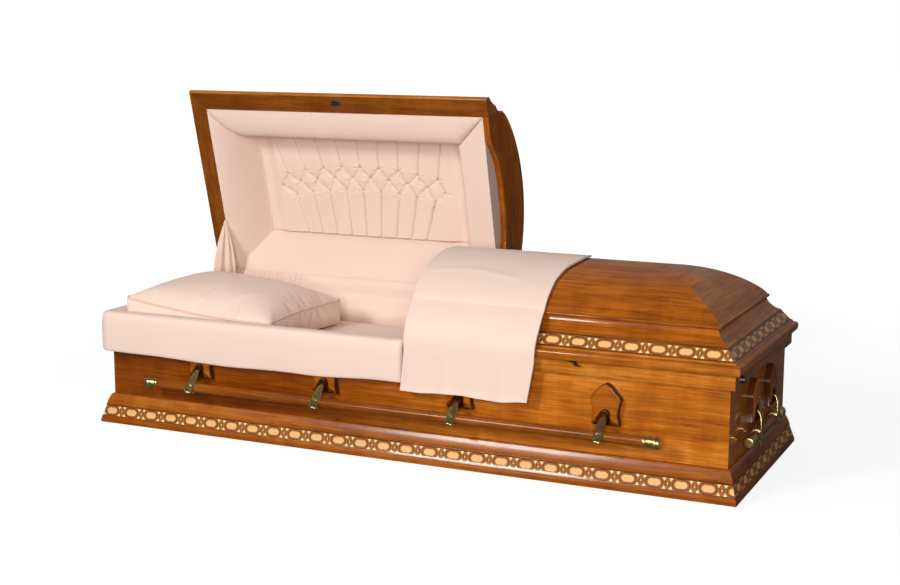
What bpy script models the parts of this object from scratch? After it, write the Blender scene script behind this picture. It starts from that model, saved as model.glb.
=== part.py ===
"""Half-couch wooden casket: panelled body on a moulded base, two hinged domed lids, swing-bar handles and a
cloth interior. Metres, +Z up. The origin is the middle of the footprint, -Y is the front, the head end is at -X
and the hinges run along the back. The head lid is modelled shut and then turned open about its hinge."""

import math

import bmesh
import bpy
from mathutils import Matrix, Vector

# Driving dimensions of the body
BASE_LENGTH = 2.130
BASE_WIDTH = 0.744
BASE_OUTSET = 0.0345  # how far the foot of the base moulding stands out from the body
BASE_HEIGHT = 0.0945
WALL = 0.019  # side and end boards
BOTTOM_THICKNESS = 0.018
RAIL_TOP = 0.3590  # the parting plane of body and lids
RAIL_HEIGHT = 0.041
RAIL_OUTSET = 0.0164
RAIL_EDGE = 0.0030  # bevel of the rail's outer edges
RIM_INSET = 0.0308  # inner edge of the rail and of the lids' rims, inside the body's outer face
GAP = 0.0003  # between glued or touching pieces

# Base moulding from the floor up, in shares of its outset and height. The inlaid band lies from the fourth point
# to the fifth.
BASE_MOULDING = (
    (1.0, 0.0),
    (1.0, 0.106),
    (0.942, 0.164),
    (0.870, 0.235),
    (0.580, 0.587),
    (0.623, 0.603),
    (0.551, 0.672),
    (0.472, 0.758),
    (0.290, 0.931),
    (0.087, 1.0),
)

# Lids
LID_LIFT = 0.0008  # the lids' rims above the rail
LID_PART = 0.0790  # the head lid's cut end
LID_PART_GAP = 0.0030  # between the two lids
RIM_HEIGHT = 0.0702
RIM_OUTSET = 0.0318  # at the widest point of the rim
RIM_MOULDING = (  # from the underside up, in shares of RIM_OUTSET and RIM_HEIGHT
    (0.550, 0.0),
    (0.871, 0.111),
    (1.0, 0.238),
    (0.903, 0.345),
    (0.547, 0.437),
    (0.421, 0.506),
    (0.283, 0.551),
    (-0.362, 0.922),
    (-0.487, 1.0),
)
COVE_HEIGHT = 0.0417
LIP_OUTSET = -0.0505  # foot of the dome, in from the body's outer face
LIP_HEIGHT = 0.0105
COVE = (  # from the rim's top to the dome's foot, in shares of the way in and of COVE_HEIGHT
    (0.0, 0.0),
    (0.471, 0.249),
    (0.729, 0.468),
    (0.986, 0.791),
    (1.057, 1.0),
    (0.871, 1.024),
    (0.857, 1.204),
)
DOME_RISE = 0.112
DOME_POWER = 1.64
DOME_STEPS = 8
CROWN_BOARD = 0.018
CROWN_FOOT_DROP = 0.012  # inner face of the crown below the dome's foot
CROWN_RISE_LOSS = 0.004  # the inner dome is flatter than the outer one by this
HEADER_THICKNESS = 0.020
HEADER_ARCH = 0.0657  # rise of the arch in a header's lower edge
HEADER_ARCH_HALF = 0.230
HEADER_ARCH_CURVE = ((1.0, 0.0), (0.64, 0.69), (0.30, 0.95), (0.0, 1.0))  # in shares of half width and rise
HEAD_LID_OPEN = math.radians(75.3)
HINGE_Y_OUT = 0.0043  # hinge axis behind the rail's outer face
HINGE_RADIUS = 0.0035
HINGE_LEAF = (0.0015, 0.028)
HINGE_CLEARANCE = 0.0015
HINGE_END_MARGIN = 0.060
LOCK_PLATE_OUTSET = 0.0025  # middle of the plate, out from the body's front face
LOCK_PLATE_HALF = (0.0225, 0.0105)
LOCK_PLATE_THICKNESS = 0.002

# Cloth interior
LINING = 0.008
TRAY_FLOOR = 0.160
TRAY_BOARD = 0.015
MATTRESS_TOP = 0.285
MATTRESS_CLEARANCE = 0.003
MATTRESS_ROUND = 0.020  # how far the top falls toward its edges
LID_PANEL_DEPTH = 0.140  # from the rim's underside up to the cap panel
LID_PANEL_INSET = (0.126, 0.106)  # cap panel in from the lining's foot, lengthways and crossways
LID_PADDING = 0.012
PILLOW_LENGTH = 0.535  # along the body
PILLOW_MARGINS = (0.0455, 0.0375, 0.0925)  # in from the body's head end, front and back
PILLOW_BAND = 0.022  # height of the band between its two seams
PILLOW_EDGE_HEIGHTS = (0.340, 0.325)  # seam line at the head end and at the other end
PILLOW_DOME = (0.088, 0.052)  # rise of the top above the seam, head end and other end
APRON_SHORT = 0.034  # its right end, short of the head lid's cut end
APRON_RETURN = 0.1575  # how far the apron runs back along the head end
APRON_PADDING = 0.012
APRON_TOP = 0.0100
APRON_ROUND = 0.004
APRON_INSIDE = 0.0035  # thickness of the fold inside the rim
APRON_DROP = 0.114
APRON_INSIDE_DROP = 0.030
THROW_INSET = 0.004  # its left edge, in from the foot lid's cut end
THROW_WIDTH = 0.376
THROW_THICKNESS = 0.005
THROW_CLEARANCE = 0.0045
THROW_HEM = 0.2240
THROW_OVER_RIM = (0.009, 0.025)  # in and up from the rim's widest point, where the throw leans in
THROW_UNDER_LIP = (0.0245, 0.030)  # out and down from the dome's foot, where it hangs free
THROW_BACK = 0.100  # how far the throw runs past the ridge

# Swing-bar handles: an arm hangs from a pin in the notch of each wooden plate
PLATE_THICKNESS = 0.022
PLATE_ROUND = 0.008
PLATE_TOP = 0.104  # apex above the pin
PLATE_SWELL = (0.62, 0.80)  # point between apex and shoulder, in shares of their width and height
PLATE_SHOULDER = (0.046, 0.058)
PLATE_WAIST = (0.0385, 0.027)
PLATE_FOOT = (0.043, -0.018)
NOTCH_HALF = 0.0095
NOTCH_RISE = 0.0105  # room above the pin for the arm's neck as it swings up
PIN_OUT = 0.013  # pin axis in front of the body's face
PIN_HEIGHT = 0.200
PIN_RADIUS = 0.003
PIN_CLEARANCE = 0.0005
PIN_ENGAGEMENT = 0.0045
EYE_RADIUS = 0.0065
BAR_RADIUS = 0.015
BAR_OUT = 0.010  # bar axis in front of the pin while the handle hangs
BAR_DROP = 0.064
BAR_COVER = 0.006  # metal of the arm in front of the bar
COLLAR_WALL = 0.0042
COLLAR_HALF = 0.009
ARM_HALF_TOP = 0.0070
ARM_HALF_FOOT = 0.0130
ARM_LENGTH = 0.094
CAP_LENGTH = 0.050
CAP_WALL = 0.0016
CAP_RING = 0.0012
CAP_STEPS = (0.58, 0.62, 0.74, 0.96)  # start and end of the ring's two slopes, in shares of CAP_LENGTH
CAP_END = 0.80  # radius of the end face in shares of the cap's
SIDE_ARMS = (-0.680, -0.227, 0.227, 0.680)
END_ARMS = (-0.105, 0.105)
SIDE_BAR_HALF = 0.858
END_BAR_HALF = 0.205
PIN_SEGMENTS = 8
SIDE_SWING = math.radians(45.0)  # the long bars stand out this far from hanging
ROUND_SEGMENTS = 12

# Fitting of the bed's crank, on the rail at the foot end
CRANK_IN = 0.0475  # from the body's front face
CRANK_RADIUS = 0.012
CRANK_LENGTH = 0.012
CRANK_SOCKET = 0.005
CRANK_SOCKET_DEPTH = 0.0072

# Sizes that follow
BODY_X = BASE_LENGTH / 2 - BASE_OUTSET
BODY_Y = BASE_WIDTH / 2 - BASE_OUTSET
RAIL_BOTTOM = RAIL_TOP - RAIL_HEIGHT
LID_BOTTOM = RAIL_TOP + LID_LIFT
RIM_TOP = LID_BOTTOM + RIM_HEIGHT
COVE_TOP = RIM_TOP + COVE_HEIGHT
LIP_TOP = COVE_TOP + LIP_HEIGHT
HINGE_Y = BODY_Y + RAIL_OUTSET + HINGE_Y_OUT
HINGE_Z = RAIL_TOP + GAP
FOOT_LID_START = LID_PART + LID_PART_GAP
FACE_OF_PLATE = GAP + PLATE_THICKNESS

WOOD = ((0.28, 0.10, 0.025), 0.35, 0.0)
DARK_WOOD = ((0.13, 0.045, 0.015), 0.40, 0.0)
CLOTH = ((0.86, 0.68, 0.58), 0.80, 0.0)
BRASS = ((0.34, 0.27, 0.13), 0.30, 1.0)
DARK_METAL = ((0.04, 0.035, 0.03), 0.45, 1.0)


# Start from an empty scene, with a collection for the parts and one for the cutters
for old in list(bpy.data.objects):
    bpy.data.objects.remove(old, do_unlink=True)
PARTS = bpy.data.collections.new("wooden_casket")
CUTTERS = bpy.data.collections.new("cutters")
for collection in (PARTS, CUTTERS):
    bpy.context.scene.collection.children.link(collection)


# A Principled material with one colour, roughness and metallic value
def material(name, look):
    colour, roughness, metallic = look
    made = bpy.data.materials.new(name)
    made.use_nodes = True
    shader = made.node_tree.nodes["Principled BSDF"]
    shader.inputs["Base Color"].default_value = (*colour, 1.0)
    shader.inputs["Roughness"].default_value = roughness
    shader.inputs["Metallic"].default_value = metallic
    return made


# A mesh object in the parts' collection, from a bmesh whose normals are made to point out
def part(name, bm, look, parent=None):
    bmesh.ops.remove_doubles(bm, verts=bm.verts, dist=1e-6)
    bmesh.ops.recalc_face_normals(bm, faces=bm.faces)
    mesh = bpy.data.meshes.new(name)
    bm.to_mesh(mesh)
    bm.free()
    made = bpy.data.objects.new(name, mesh)
    made.data.materials.append(material(name, look))
    made.parent = parent
    PARTS.objects.link(made)
    return made


# A box between two corners
def box_mesh(low, high):
    bm = bmesh.new()
    size = Vector(high) - Vector(low)
    middle = (Vector(high) + Vector(low)) / 2
    bmesh.ops.create_cube(bm, size=1.0, matrix=Matrix.Translation(middle) @ Matrix.Diagonal((*size, 1.0)))
    return bm


# A closed cylinder between two points
def rod_mesh(radius, start, end, segments=ROUND_SEGMENTS):
    bm = bmesh.new()
    start, end = Vector(start), Vector(end)
    turn = (end - start).to_track_quat("Z", "Y").to_matrix().to_4x4()
    place = Matrix.Translation((start + end) / 2) @ turn
    length = (end - start).length
    bmesh.ops.create_cone(
        bm, cap_ends=True, segments=segments, radius1=radius, radius2=radius, depth=length, matrix=place
    )
    return bm


# A hidden cutting body, or one that is joined to a part and then not needed as an object of its own
def cutter(name, bm, parent=None):
    made = part(name, bm, DARK_METAL, parent)
    PARTS.objects.unlink(made)
    CUTTERS.objects.link(made)
    made.hide_render = True
    made.display_type = "WIRE"
    return made


# A Boolean modifier on a part
def boolean(target, operand, operation="DIFFERENCE"):
    step = target.modifiers.new(operand.name, "BOOLEAN")
    step.operation = operation
    step.solver = "EXACT"
    step.object = operand


# A moulding: a profile of (outset, height) points carried along a route whose corners depend on the outset. The
# route may close on itself. The profile closes too, unless it starts and ends on the ridge, where both sides of a
# roof meet.
def moulding_mesh(profile, corners_at, route_closes, profile_closes=True):
    bm = bmesh.new()
    rows = []
    for outset, height in profile:
        rows.append([bm.verts.new((x, y, height)) for x, y in corners_at(outset)])
    corners = len(rows[0])
    steps = list(zip(rows, rows[1:]))
    if profile_closes:
        steps.append((rows[-1], rows[0]))
    for low, high in steps:
        for i in range(corners if route_closes else corners - 1):
            j = (i + 1) % corners
            bm.faces.new((low[i], low[j], high[j], high[i]))
    if not route_closes:
        bm.faces.new([row[0] for row in rows])
        bm.faces.new([row[-1] for row in rows])
    bmesh.ops.remove_doubles(bm, verts=bm.verts, dist=1e-6)
    return bm


# Four corners round the body, for mouldings that go all the way round
def all_round(outset):
    x, y = BODY_X + outset, BODY_Y + outset
    return [(-x, -y), (x, -y), (x, y), (-x, y)]


# The three sides of a lid: end is -1 for the head lid and +1 for the foot lid
def lid_route(end):
    start = LID_PART if end < 0 else FOOT_LID_START

    def corners(outset):
        x, y = end * (BODY_X + outset), BODY_Y + outset
        return [(start, -y), (x, -y), (x, y), (start, y)]

    return corners


# A flat outline in the X-Z plane of a frame, given depth along Y
def slab_mesh(outline, near, far):
    bm = bmesh.new()
    face = bm.faces.new([bm.verts.new((x, near, z)) for x, z in outline])
    grown = bmesh.ops.extrude_face_region(bm, geom=[face])
    moved = [item for item in grown["geom"] if isinstance(item, bmesh.types.BMVert)]
    bmesh.ops.translate(bm, verts=moved, vec=(0, far - near, 0))
    return bm


# Points on an arc of a circle
def arc(centre, radius, start, end, steps):
    points = []
    for i in range(steps + 1):
        angle = math.radians(start + (end - start) * i / steps)
        points.append((centre[0] + radius * math.cos(angle), centre[1] + radius * math.sin(angle)))
    return points


# A smooth curve through a few points, for carved outlines
def smooth(points, steps):
    found = []
    for i in range(len(points) - 1):
        before = points[max(i - 1, 0)]
        start, end = points[i], points[i + 1]
        after = points[min(i + 2, len(points) - 1)]
        for k in range(steps):
            t = k / steps
            weights = (
                -0.5 * t + t * t - 0.5 * t**3,
                1 - 2.5 * t * t + 1.5 * t**3,
                0.5 * t + 2 * t * t - 1.5 * t**3,
                -0.5 * t * t + 0.5 * t**3,
            )
            four = (before, start, end, after)
            found.append(tuple(sum(w * p[axis] for w, p in zip(weights, four)) for axis in (0, 1)))
    found.append(tuple(points[-1]))
    return found


# Body: base moulding, boards, bottom and rail
def build_body():
    base_profile = [(BASE_OUTSET * out, BASE_HEIGHT * up) for out, up in BASE_MOULDING]
    base_profile += [(GAP, BASE_HEIGHT), (GAP, 0.0)]
    part("base_moulding", moulding_mesh(base_profile, all_round, True), WOOD)

    panel_top = RAIL_BOTTOM - GAP
    inner_y = BODY_Y - WALL
    for name, side in (("side_panel_front", -1), ("side_panel_back", 1)):
        y0, y1 = sorted((side * BODY_Y, side * inner_y))
        part(name, box_mesh((-BODY_X, y0, 0), (BODY_X, y1, panel_top)), WOOD)
    for name, side in (("end_panel_head", -1), ("end_panel_foot", 1)):
        x0, x1 = sorted((side * BODY_X, side * (BODY_X - WALL)))
        part(name, box_mesh((x0, -inner_y + GAP, 0), (x1, inner_y - GAP, panel_top)), WOOD)
    inner_x = BODY_X - WALL - GAP
    bottom = box_mesh((-inner_x, -inner_y + GAP, 0), (inner_x, inner_y - GAP, BOTTOM_THICKNESS))
    part("bottom_board", bottom, DARK_WOOD)

    rail_profile = [
        (-RIM_INSET, RAIL_BOTTOM),
        (RAIL_OUTSET - RAIL_EDGE, RAIL_BOTTOM),
        (RAIL_OUTSET, RAIL_BOTTOM + RAIL_EDGE),
        (RAIL_OUTSET, RAIL_TOP - RAIL_EDGE),
        (RAIL_OUTSET - RAIL_EDGE, RAIL_TOP),
        (-RIM_INSET, RAIL_TOP),
    ]
    part("top_rail", moulding_mesh(rail_profile, all_round, True), WOOD)


# Half-width and height of the dome, as (outset, height) from its foot to the ridge
def dome(foot_outset, foot_height, rise):
    half = BODY_Y + foot_outset
    points = []
    for i in range(DOME_STEPS + 1):
        angle = math.pi / 2 * i / DOME_STEPS
        points.append((half * math.cos(angle) - BODY_Y, foot_height + rise * math.sin(angle) ** DOME_POWER))
    return points


# The crown's inner face, from the ridge down to the rim
def crown_inside():
    inner = dome(LIP_OUTSET - CROWN_BOARD, LIP_TOP - CROWN_FOOT_DROP, DOME_RISE - CROWN_RISE_LOSS)
    return list(reversed(inner)) + [(-RIM_INSET, RIM_TOP + GAP)]


# One lid: rim, crown, header and lining, hung from an empty on the hinge axis
def build_lid(word, end, opening):
    hinge = bpy.data.objects.new(f"{word}_hinge_axis", None)
    hinge.location = (0, HINGE_Y, HINGE_Z)
    hinge.rotation_euler = (-opening, 0, 0)
    PARTS.objects.link(hinge)
    on_hinge = Matrix.Translation((0, -HINGE_Y, -HINGE_Z))

    def hung(name, bm, look):
        bm.transform(on_hinge)
        return part(f"{word}_{name}", bm, look, hinge)

    rim_profile = [(RIM_OUTSET * out, LID_BOTTOM + RIM_HEIGHT * up) for out, up in RIM_MOULDING]
    rim_top_outset = rim_profile[-1][0]
    rim_profile += [(-RIM_INSET, RIM_TOP), (-RIM_INSET, LID_BOTTOM)]
    rim = hung("rim", moulding_mesh(rim_profile, lid_route(end), False), WOOD)

    crown_profile = crown_inside()
    for inward, up in COVE:
        outset = rim_top_outset + (LIP_OUTSET - rim_top_outset) * inward
        crown_profile.append((outset, RIM_TOP + GAP + (COVE_HEIGHT - GAP) * up))
    crown_profile += dome(LIP_OUTSET, LIP_TOP, DOME_RISE)
    hung("crown", moulding_mesh(crown_profile, lid_route(end), False, False), WOOD)

    start = LID_PART if end < 0 else FOOT_LID_START
    header_back = start + end * HEADER_THICKNESS
    low = LID_BOTTOM + GAP
    arch = smooth([(HEADER_ARCH_HALF * wide, low + HEADER_ARCH * up) for wide, up in HEADER_ARCH_CURVE], 3)
    skin = [(BODY_Y + outset - GAP, height - GAP) for outset, height in crown_inside()]
    skin[0] = (0.0, skin[0][1])
    side = [(BODY_Y - RIM_INSET - GAP, RIM_TOP), (BODY_Y - RIM_INSET - GAP, low)]
    half = skin[:-1] + side + arch
    outline = half + [(-y, z) for y, z in reversed(half[1:-1])]
    bm = slab_mesh(outline, start, header_back)
    bm.transform(Matrix(((0, 1, 0, 0), (1, 0, 0, 0), (0, 0, 1, 0), (0, 0, 0, 1))))
    hung("header", bm, DARK_WOOD)

    foot_x = end * (BODY_X - RIM_INSET - GAP)
    foot_y = BODY_Y - RIM_INSET - GAP
    part_x = header_back + end * GAP
    high = LID_BOTTOM + LID_PANEL_DEPTH

    def loop(inset, height):
        x0 = part_x + end * inset[0]
        x1 = foot_x - end * inset[0]
        y = foot_y - inset[1]
        return [(x0, -y, height), (x1, -y, height), (x1, y, height), (x0, y, height)]

    loops = [
        loop((LINING, LINING), low),
        loop(LID_PANEL_INSET, high),
        loop((LID_PANEL_INSET[0] - LID_PADDING, LID_PANEL_INSET[1] - LID_PADDING), high + LID_PADDING),
        loop((0, 0), low),
    ]
    hung("lining", bowl_mesh(loops), CLOTH)
    return hinge, rim


# A hollow tray or cap: loops with equal corners, inside loops first and outside loops after. The second loop
# carries the inside face and the third the outside face, and the last loop meets the first at the rim.
def bowl_mesh(loops):
    bm = bmesh.new()
    rows = [[bm.verts.new(point) for point in loop] for loop in loops]
    count = len(rows[0])
    for low, high in ((rows[0], rows[1]), (rows[2], rows[3]), (rows[3], rows[0])):
        for i in range(count):
            j = (i + 1) % count
            bm.faces.new((low[i], low[j], high[j], high[i]))
    bm.faces.new(rows[1])
    bm.faces.new(rows[2])
    return bm


# A long hinge on the rail's back: a strip and a barrel on the joint's axis, and the rebate that the barrel needs
# in the rim above it
def build_hinge(word, rim, hinge, x0, x1):
    leaf_thickness, leaf_height = HINGE_LEAF
    face = BODY_Y + RAIL_OUTSET + GAP
    leaf_low, leaf_high = (x0, face, HINGE_Z - leaf_height), (x1, face + leaf_thickness, HINGE_Z)
    leaf = part(f"{word}_hinge", box_mesh(leaf_low, leaf_high), BRASS)
    barrel = rod_mesh(HINGE_RADIUS, (x0, HINGE_Y, HINGE_Z), (x1, HINGE_Y, HINGE_Z))
    boolean(leaf, cutter(f"{word}_hinge_barrel", barrel), "UNION")

    reach = HINGE_RADIUS + HINGE_CLEARANCE
    low = (x0 - HINGE_CLEARANCE, -reach, -HINGE_Z / 2)
    high = (x1 + HINGE_CLEARANCE, BASE_OUTSET, reach)
    boolean(rim, cutter(f"{word}_hinge_rebate", box_mesh(low, high), hinge))


# Oval plate of the lock, let into the underside of the head lid's rim in the middle of its length
def build_lock_plate(rim, hinge):
    x, y = (LID_PART - BODY_X) / 2, -(BODY_Y + LOCK_PLATE_OUTSET)

    def oval(grow, thickness):
        bm = rod_mesh(1.0, (0, 0, 0), (0, 0, thickness), 16)
        bm.transform(Matrix.Diagonal((LOCK_PLATE_HALF[0] + grow, LOCK_PLATE_HALF[1] + grow, 1.0, 1.0)))
        bm.transform(Matrix.Translation((x, y - HINGE_Y, LID_BOTTOM - HINGE_Z)))
        return bm

    pocket = oval(GAP, LOCK_PLATE_THICKNESS + GAP)
    for vertex in pocket.verts:
        if vertex.co.z < LID_BOTTOM - HINGE_Z + GAP:
            vertex.co.z -= LOCK_PLATE_THICKNESS
    boolean(rim, cutter("lock_plate_pocket", pocket, hinge))
    part("lock_plate", oval(0, LOCK_PLATE_THICKNESS), DARK_METAL, hinge)


# Cloth-covered tray inside the boards, with the floor that the mattress lies on
def build_lining_tray():
    x, y = BODY_X - WALL - GAP, BODY_Y - WALL - GAP
    top, floor = RAIL_BOTTOM - GAP, TRAY_FLOOR

    def loop(inset, height):
        a, b = x - inset, y - inset
        return [(-a, -b, height), (a, -b, height), (a, b, height), (-a, b, height)]

    tray = bowl_mesh([loop(LINING, top), loop(LINING, floor), loop(0, floor - TRAY_BOARD), loop(0, top)])
    made = part("lining_tray", tray, CLOTH)
    skirt_low = BOTTOM_THICKNESS + GAP
    outer = box_mesh((-x, -y, skirt_low), (x, y, floor - TRAY_BOARD / 2))
    inner = box_mesh((-x + LINING, -y + LINING, 0), (x - LINING, y - LINING, floor - TRAY_BOARD))
    skirt = cutter("tray_skirt", outer)
    boolean(skirt, cutter("tray_skirt_hollow", inner))
    boolean(made, skirt, "UNION")


# A cushion between two corners whose top and bottom swell from a seam line
def cushion_mesh(x_range, y_range, bottom_at, top_at, cuts):
    bm = bmesh.new()
    bmesh.ops.create_cube(bm, size=2.0)
    bmesh.ops.subdivide_edges(bm, edges=bm.edges, cuts=cuts, use_grid_fill=True)
    (x0, x1), (y0, y1) = x_range, y_range
    for vertex in bm.verts:
        u, v, w = vertex.co
        low, high = bottom_at(u, v), top_at(u, v)
        middle = (low + high) / 2
        shrink = 1 - 0.02 * w * w
        vertex.co.x = (x0 + x1) / 2 + (x1 - x0) / 2 * u * shrink
        vertex.co.y = (y0 + y1) / 2 + (y1 - y0) / 2 * v * shrink
        vertex.co.z = middle + (high - low) / 2 * w
    return bm


def build_mattress_and_pillow():
    room = WALL + GAP + LINING + MATTRESS_CLEARANCE
    x, y = BODY_X - room, BODY_Y - room
    bottom = TRAY_FLOOR + GAP

    def mattress_top(u, v):
        return MATTRESS_TOP - MATTRESS_ROUND * max(abs(u) ** 8, abs(v) ** 4)

    part("mattress", cushion_mesh((-x, x), (-y, y), lambda u, v: bottom, mattress_top, 3), CLOTH)

    rest = MATTRESS_TOP + 2 * GAP

    def along(pair, u):
        return pair[0] + (pair[1] - pair[0]) * (u + 1) / 2

    def pillow_top(u, v):
        swell = (1 - abs(u) ** 2.4) * (1 - abs(v) ** 2.4)
        seam = along(PILLOW_EDGE_HEIGHTS, u) + PILLOW_BAND / 2
        return seam + (along(PILLOW_DOME, u) - PILLOW_BAND / 2) * swell

    def pillow_bottom(u, v):
        swell = (1 - abs(u) ** 4) * (1 - abs(v) ** 4)
        seam = along(PILLOW_EDGE_HEIGHTS, u) - PILLOW_BAND / 2
        return seam + (rest - seam) * swell

    from_head, from_front, from_back = PILLOW_MARGINS
    x_range = (from_head - BODY_X, from_head - BODY_X + PILLOW_LENGTH)
    y_range = (from_front - BODY_Y, BODY_Y - from_back)
    part("pillow", cushion_mesh(x_range, y_range, pillow_bottom, pillow_top, 4), CLOTH)


# Padded apron folded over the front rim and round the head corner, hanging outside the plates
def build_apron():
    outer = FACE_OF_PLATE + GAP + APRON_PADDING
    lift = RAIL_TOP + GAP
    top = RAIL_TOP + APRON_TOP
    inside = -RIM_INSET - GAP
    profile = [
        (outer - APRON_PADDING, lift - APRON_DROP),
        (outer - APRON_ROUND, lift - APRON_DROP - APRON_ROUND),
        (outer, lift - APRON_DROP + APRON_ROUND),
        (outer, top - 2 * APRON_ROUND),
        (outer - 2 * APRON_ROUND, top),
        (inside - APRON_INSIDE + 2 * APRON_ROUND, top),
        (inside - APRON_INSIDE, top - 2 * APRON_ROUND),
        (inside - APRON_INSIDE, RAIL_TOP - APRON_INSIDE_DROP),
        (inside, RAIL_TOP - APRON_INSIDE_DROP),
        (inside, lift),
        (outer - APRON_PADDING, lift),
    ]
    closer = FACE_OF_PLATE - RAIL_OUTSET

    def route(outset):
        y = -(BODY_Y + outset)
        x = -(BODY_X + (outset - closer if outset > 0 else outset))
        return [(LID_PART - APRON_SHORT, y), (x, y), (x, APRON_RETURN - BODY_Y)]

    part("apron", moulding_mesh(profile, route, False), CLOTH)


# Throw laid over the foot lid and hanging down its front, in the foot lid's own frame
def build_throw(hinge):
    front = -(BODY_Y + RIM_OUTSET + THROW_CLEARANCE)
    widest = LID_BOTTOM + RIM_HEIGHT * max(RIM_MOULDING)[1]
    surface = [(-(BODY_Y + outset), height) for outset, height in dome(LIP_OUTSET, LIP_TOP, DOME_RISE)]
    clear = THROW_CLEARANCE
    inner = [
        (front, THROW_HEM),
        (front, (THROW_HEM + widest) / 2),
        (front, widest),
        (front + THROW_OVER_RIM[0], widest + THROW_OVER_RIM[1]),
        (surface[0][0] - THROW_UNDER_LIP[0], LIP_TOP - THROW_UNDER_LIP[1]),
    ]
    inner += [(y - clear * (1 - i / DOME_STEPS), z + clear) for i, (y, z) in enumerate(surface)]
    inner += [(-y, z) for y, z in reversed(inner[-4:-1]) if -y < THROW_BACK]
    profile = []
    for i, (y, z) in enumerate(inner):
        before, after = Vector(inner[max(i - 1, 0)]), Vector(inner[min(i + 1, len(inner) - 1)])
        run = (after - before).normalized()
        profile.append((y - run.y * THROW_THICKNESS, z + run.x * THROW_THICKNESS))
    outline = inner + list(reversed(profile))
    start = FOOT_LID_START + THROW_INSET
    bm = slab_mesh(outline, start, start + THROW_WIDTH)
    bm.transform(Matrix(((0, 1, 0, 0), (1, 0, 0, -HINGE_Y), (0, 0, 1, -HINGE_Z), (0, 0, 0, 1))))
    part("throw", bm, CLOTH, hinge)


# The carved wooden plate behind one arm, with its pin at the origin and its face toward -Y
def plate_object():
    swell = (PLATE_SWELL[0] * PLATE_SHOULDER[0], PLATE_SWELL[1] * PLATE_TOP)
    shoulder = smooth([(0, PLATE_TOP), swell, PLATE_SHOULDER], 2)
    side = smooth([PLATE_SHOULDER, PLATE_WAIST, PLATE_FOOT], 2)
    notch = arc((0, NOTCH_RISE), NOTCH_HALF, 0, 90, 2)
    half = shoulder + side[1:] + [(NOTCH_HALF, PLATE_FOOT[1])] + notch
    outline = half + [(-x, z) for x, z in reversed(half[1:-1])]
    back = PIN_OUT - GAP
    bm = slab_mesh(outline, back, back - PLATE_THICKNESS + PLATE_ROUND)
    bmesh.ops.recalc_face_normals(bm, faces=bm.faces)
    face = min(bm.faces, key=lambda f: f.calc_center_median().y)
    for inset, rise in ((0.25 * PLATE_ROUND, 0.60 * PLATE_ROUND), (0.50 * PLATE_ROUND, 0.40 * PLATE_ROUND)):
        bmesh.ops.inset_region(bm, faces=[face], thickness=inset, depth=rise, use_even_offset=True)
    made = cutter("plate_master", bm)
    reach = NOTCH_HALF + PIN_ENGAGEMENT + PIN_CLEARANCE
    hole = rod_mesh(PIN_RADIUS + PIN_CLEARANCE, (-reach, 0, 0), (reach, 0, 0), PIN_SEGMENTS)
    boolean(made, cutter("plate_pin_hole", hole))
    return made


# One cast arm with its pin at the origin, hanging down in front of the bar
def arm_object():
    front = BAR_OUT + BAR_RADIUS + BAR_COVER
    eye = arc((0, 0), EYE_RADIUS, 60, 250, 4)
    blade = [
        (0.55 * front, -0.010),
        (0.75 * front, -0.40 * BAR_DROP),
        (front - BAR_COVER, -BAR_DROP),
        (front - 0.0095, -ARM_LENGTH),
        (front - 0.0045, -ARM_LENGTH),
        (front - 0.0010, -1.20 * BAR_DROP),
        (front, -BAR_DROP),
        (front - 0.0020, -0.50 * BAR_DROP),
        (0.75 * front, -0.010),
        (0.40 * front, 0.0045),
    ]
    outline = eye + blade
    bm = slab_mesh(outline, -1.0, 1.0)
    bmesh.ops.triangulate(bm, faces=bm.faces)
    for vertex in bm.verts:
        out, side, up = vertex.co
        share = min(1.0, max(0.0, -up / (0.75 * ARM_LENGTH)))
        half = ARM_HALF_TOP + (ARM_HALF_FOOT - ARM_HALF_TOP) * math.sin(share * math.pi / 2)
        vertex.co = (side * half, -out, up)
    made = cutter("arm_master", bm)
    axis_y, axis_z = -BAR_OUT, -BAR_DROP
    collar_ends = ((-COLLAR_HALF, axis_y, axis_z), (COLLAR_HALF, axis_y, axis_z))
    collar = rod_mesh(BAR_RADIUS + COLLAR_WALL, *collar_ends)
    boolean(made, cutter("arm_collar", collar), "UNION")
    reach = NOTCH_HALF + PIN_ENGAGEMENT
    pin = rod_mesh(PIN_RADIUS, (-reach, 0, 0), (reach, 0, 0), PIN_SEGMENTS)
    boolean(made, cutter("arm_pin", pin), "UNION")
    through = 2 * ARM_HALF_FOOT
    hole = rod_mesh(BAR_RADIUS + GAP, (-through, axis_y, axis_z), (through, axis_y, axis_z))
    boolean(made, cutter("arm_bar_hole", hole))
    return made


# Brass cap on a bar's end: a sleeve with a raised ring and a closed end, along +X from its mouth
def cap_mesh():
    inner, outer = BAR_RADIUS + GAP, BAR_RADIUS + GAP + CAP_WALL
    ring = outer + CAP_RING
    bm = bmesh.new()
    slopes = [(CAP_LENGTH * step, radius) for step, radius in zip(CAP_STEPS, (outer, ring, ring, outer))]
    outline = [(0.0, inner), (0.0, outer), *slopes, (CAP_LENGTH, CAP_END * outer)]
    rows = []
    for along, radius in outline + [(CAP_LENGTH - 3 * CAP_WALL, inner)]:
        turn = [2 * math.pi * i / ROUND_SEGMENTS for i in range(ROUND_SEGMENTS)]
        rows.append([bm.verts.new((along, radius * math.cos(a), radius * math.sin(a))) for a in turn])
    for low, high in list(zip(rows[:-2], rows[1:-1])) + [(rows[-1], rows[0])]:
        for i in range(ROUND_SEGMENTS):
            j = (i + 1) % ROUND_SEGMENTS
            bm.faces.new((low[i], low[j], high[j], high[i]))
    bm.faces.new(rows[-2])
    bm.faces.new(rows[-1])
    return bm


# The finished mesh of a master, with its Booleans made
def finished_mesh(master):
    bpy.context.view_layer.update()
    state = master.evaluated_get(bpy.context.evaluated_depsgraph_get())
    return bpy.data.meshes.new_from_object(state)


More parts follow.
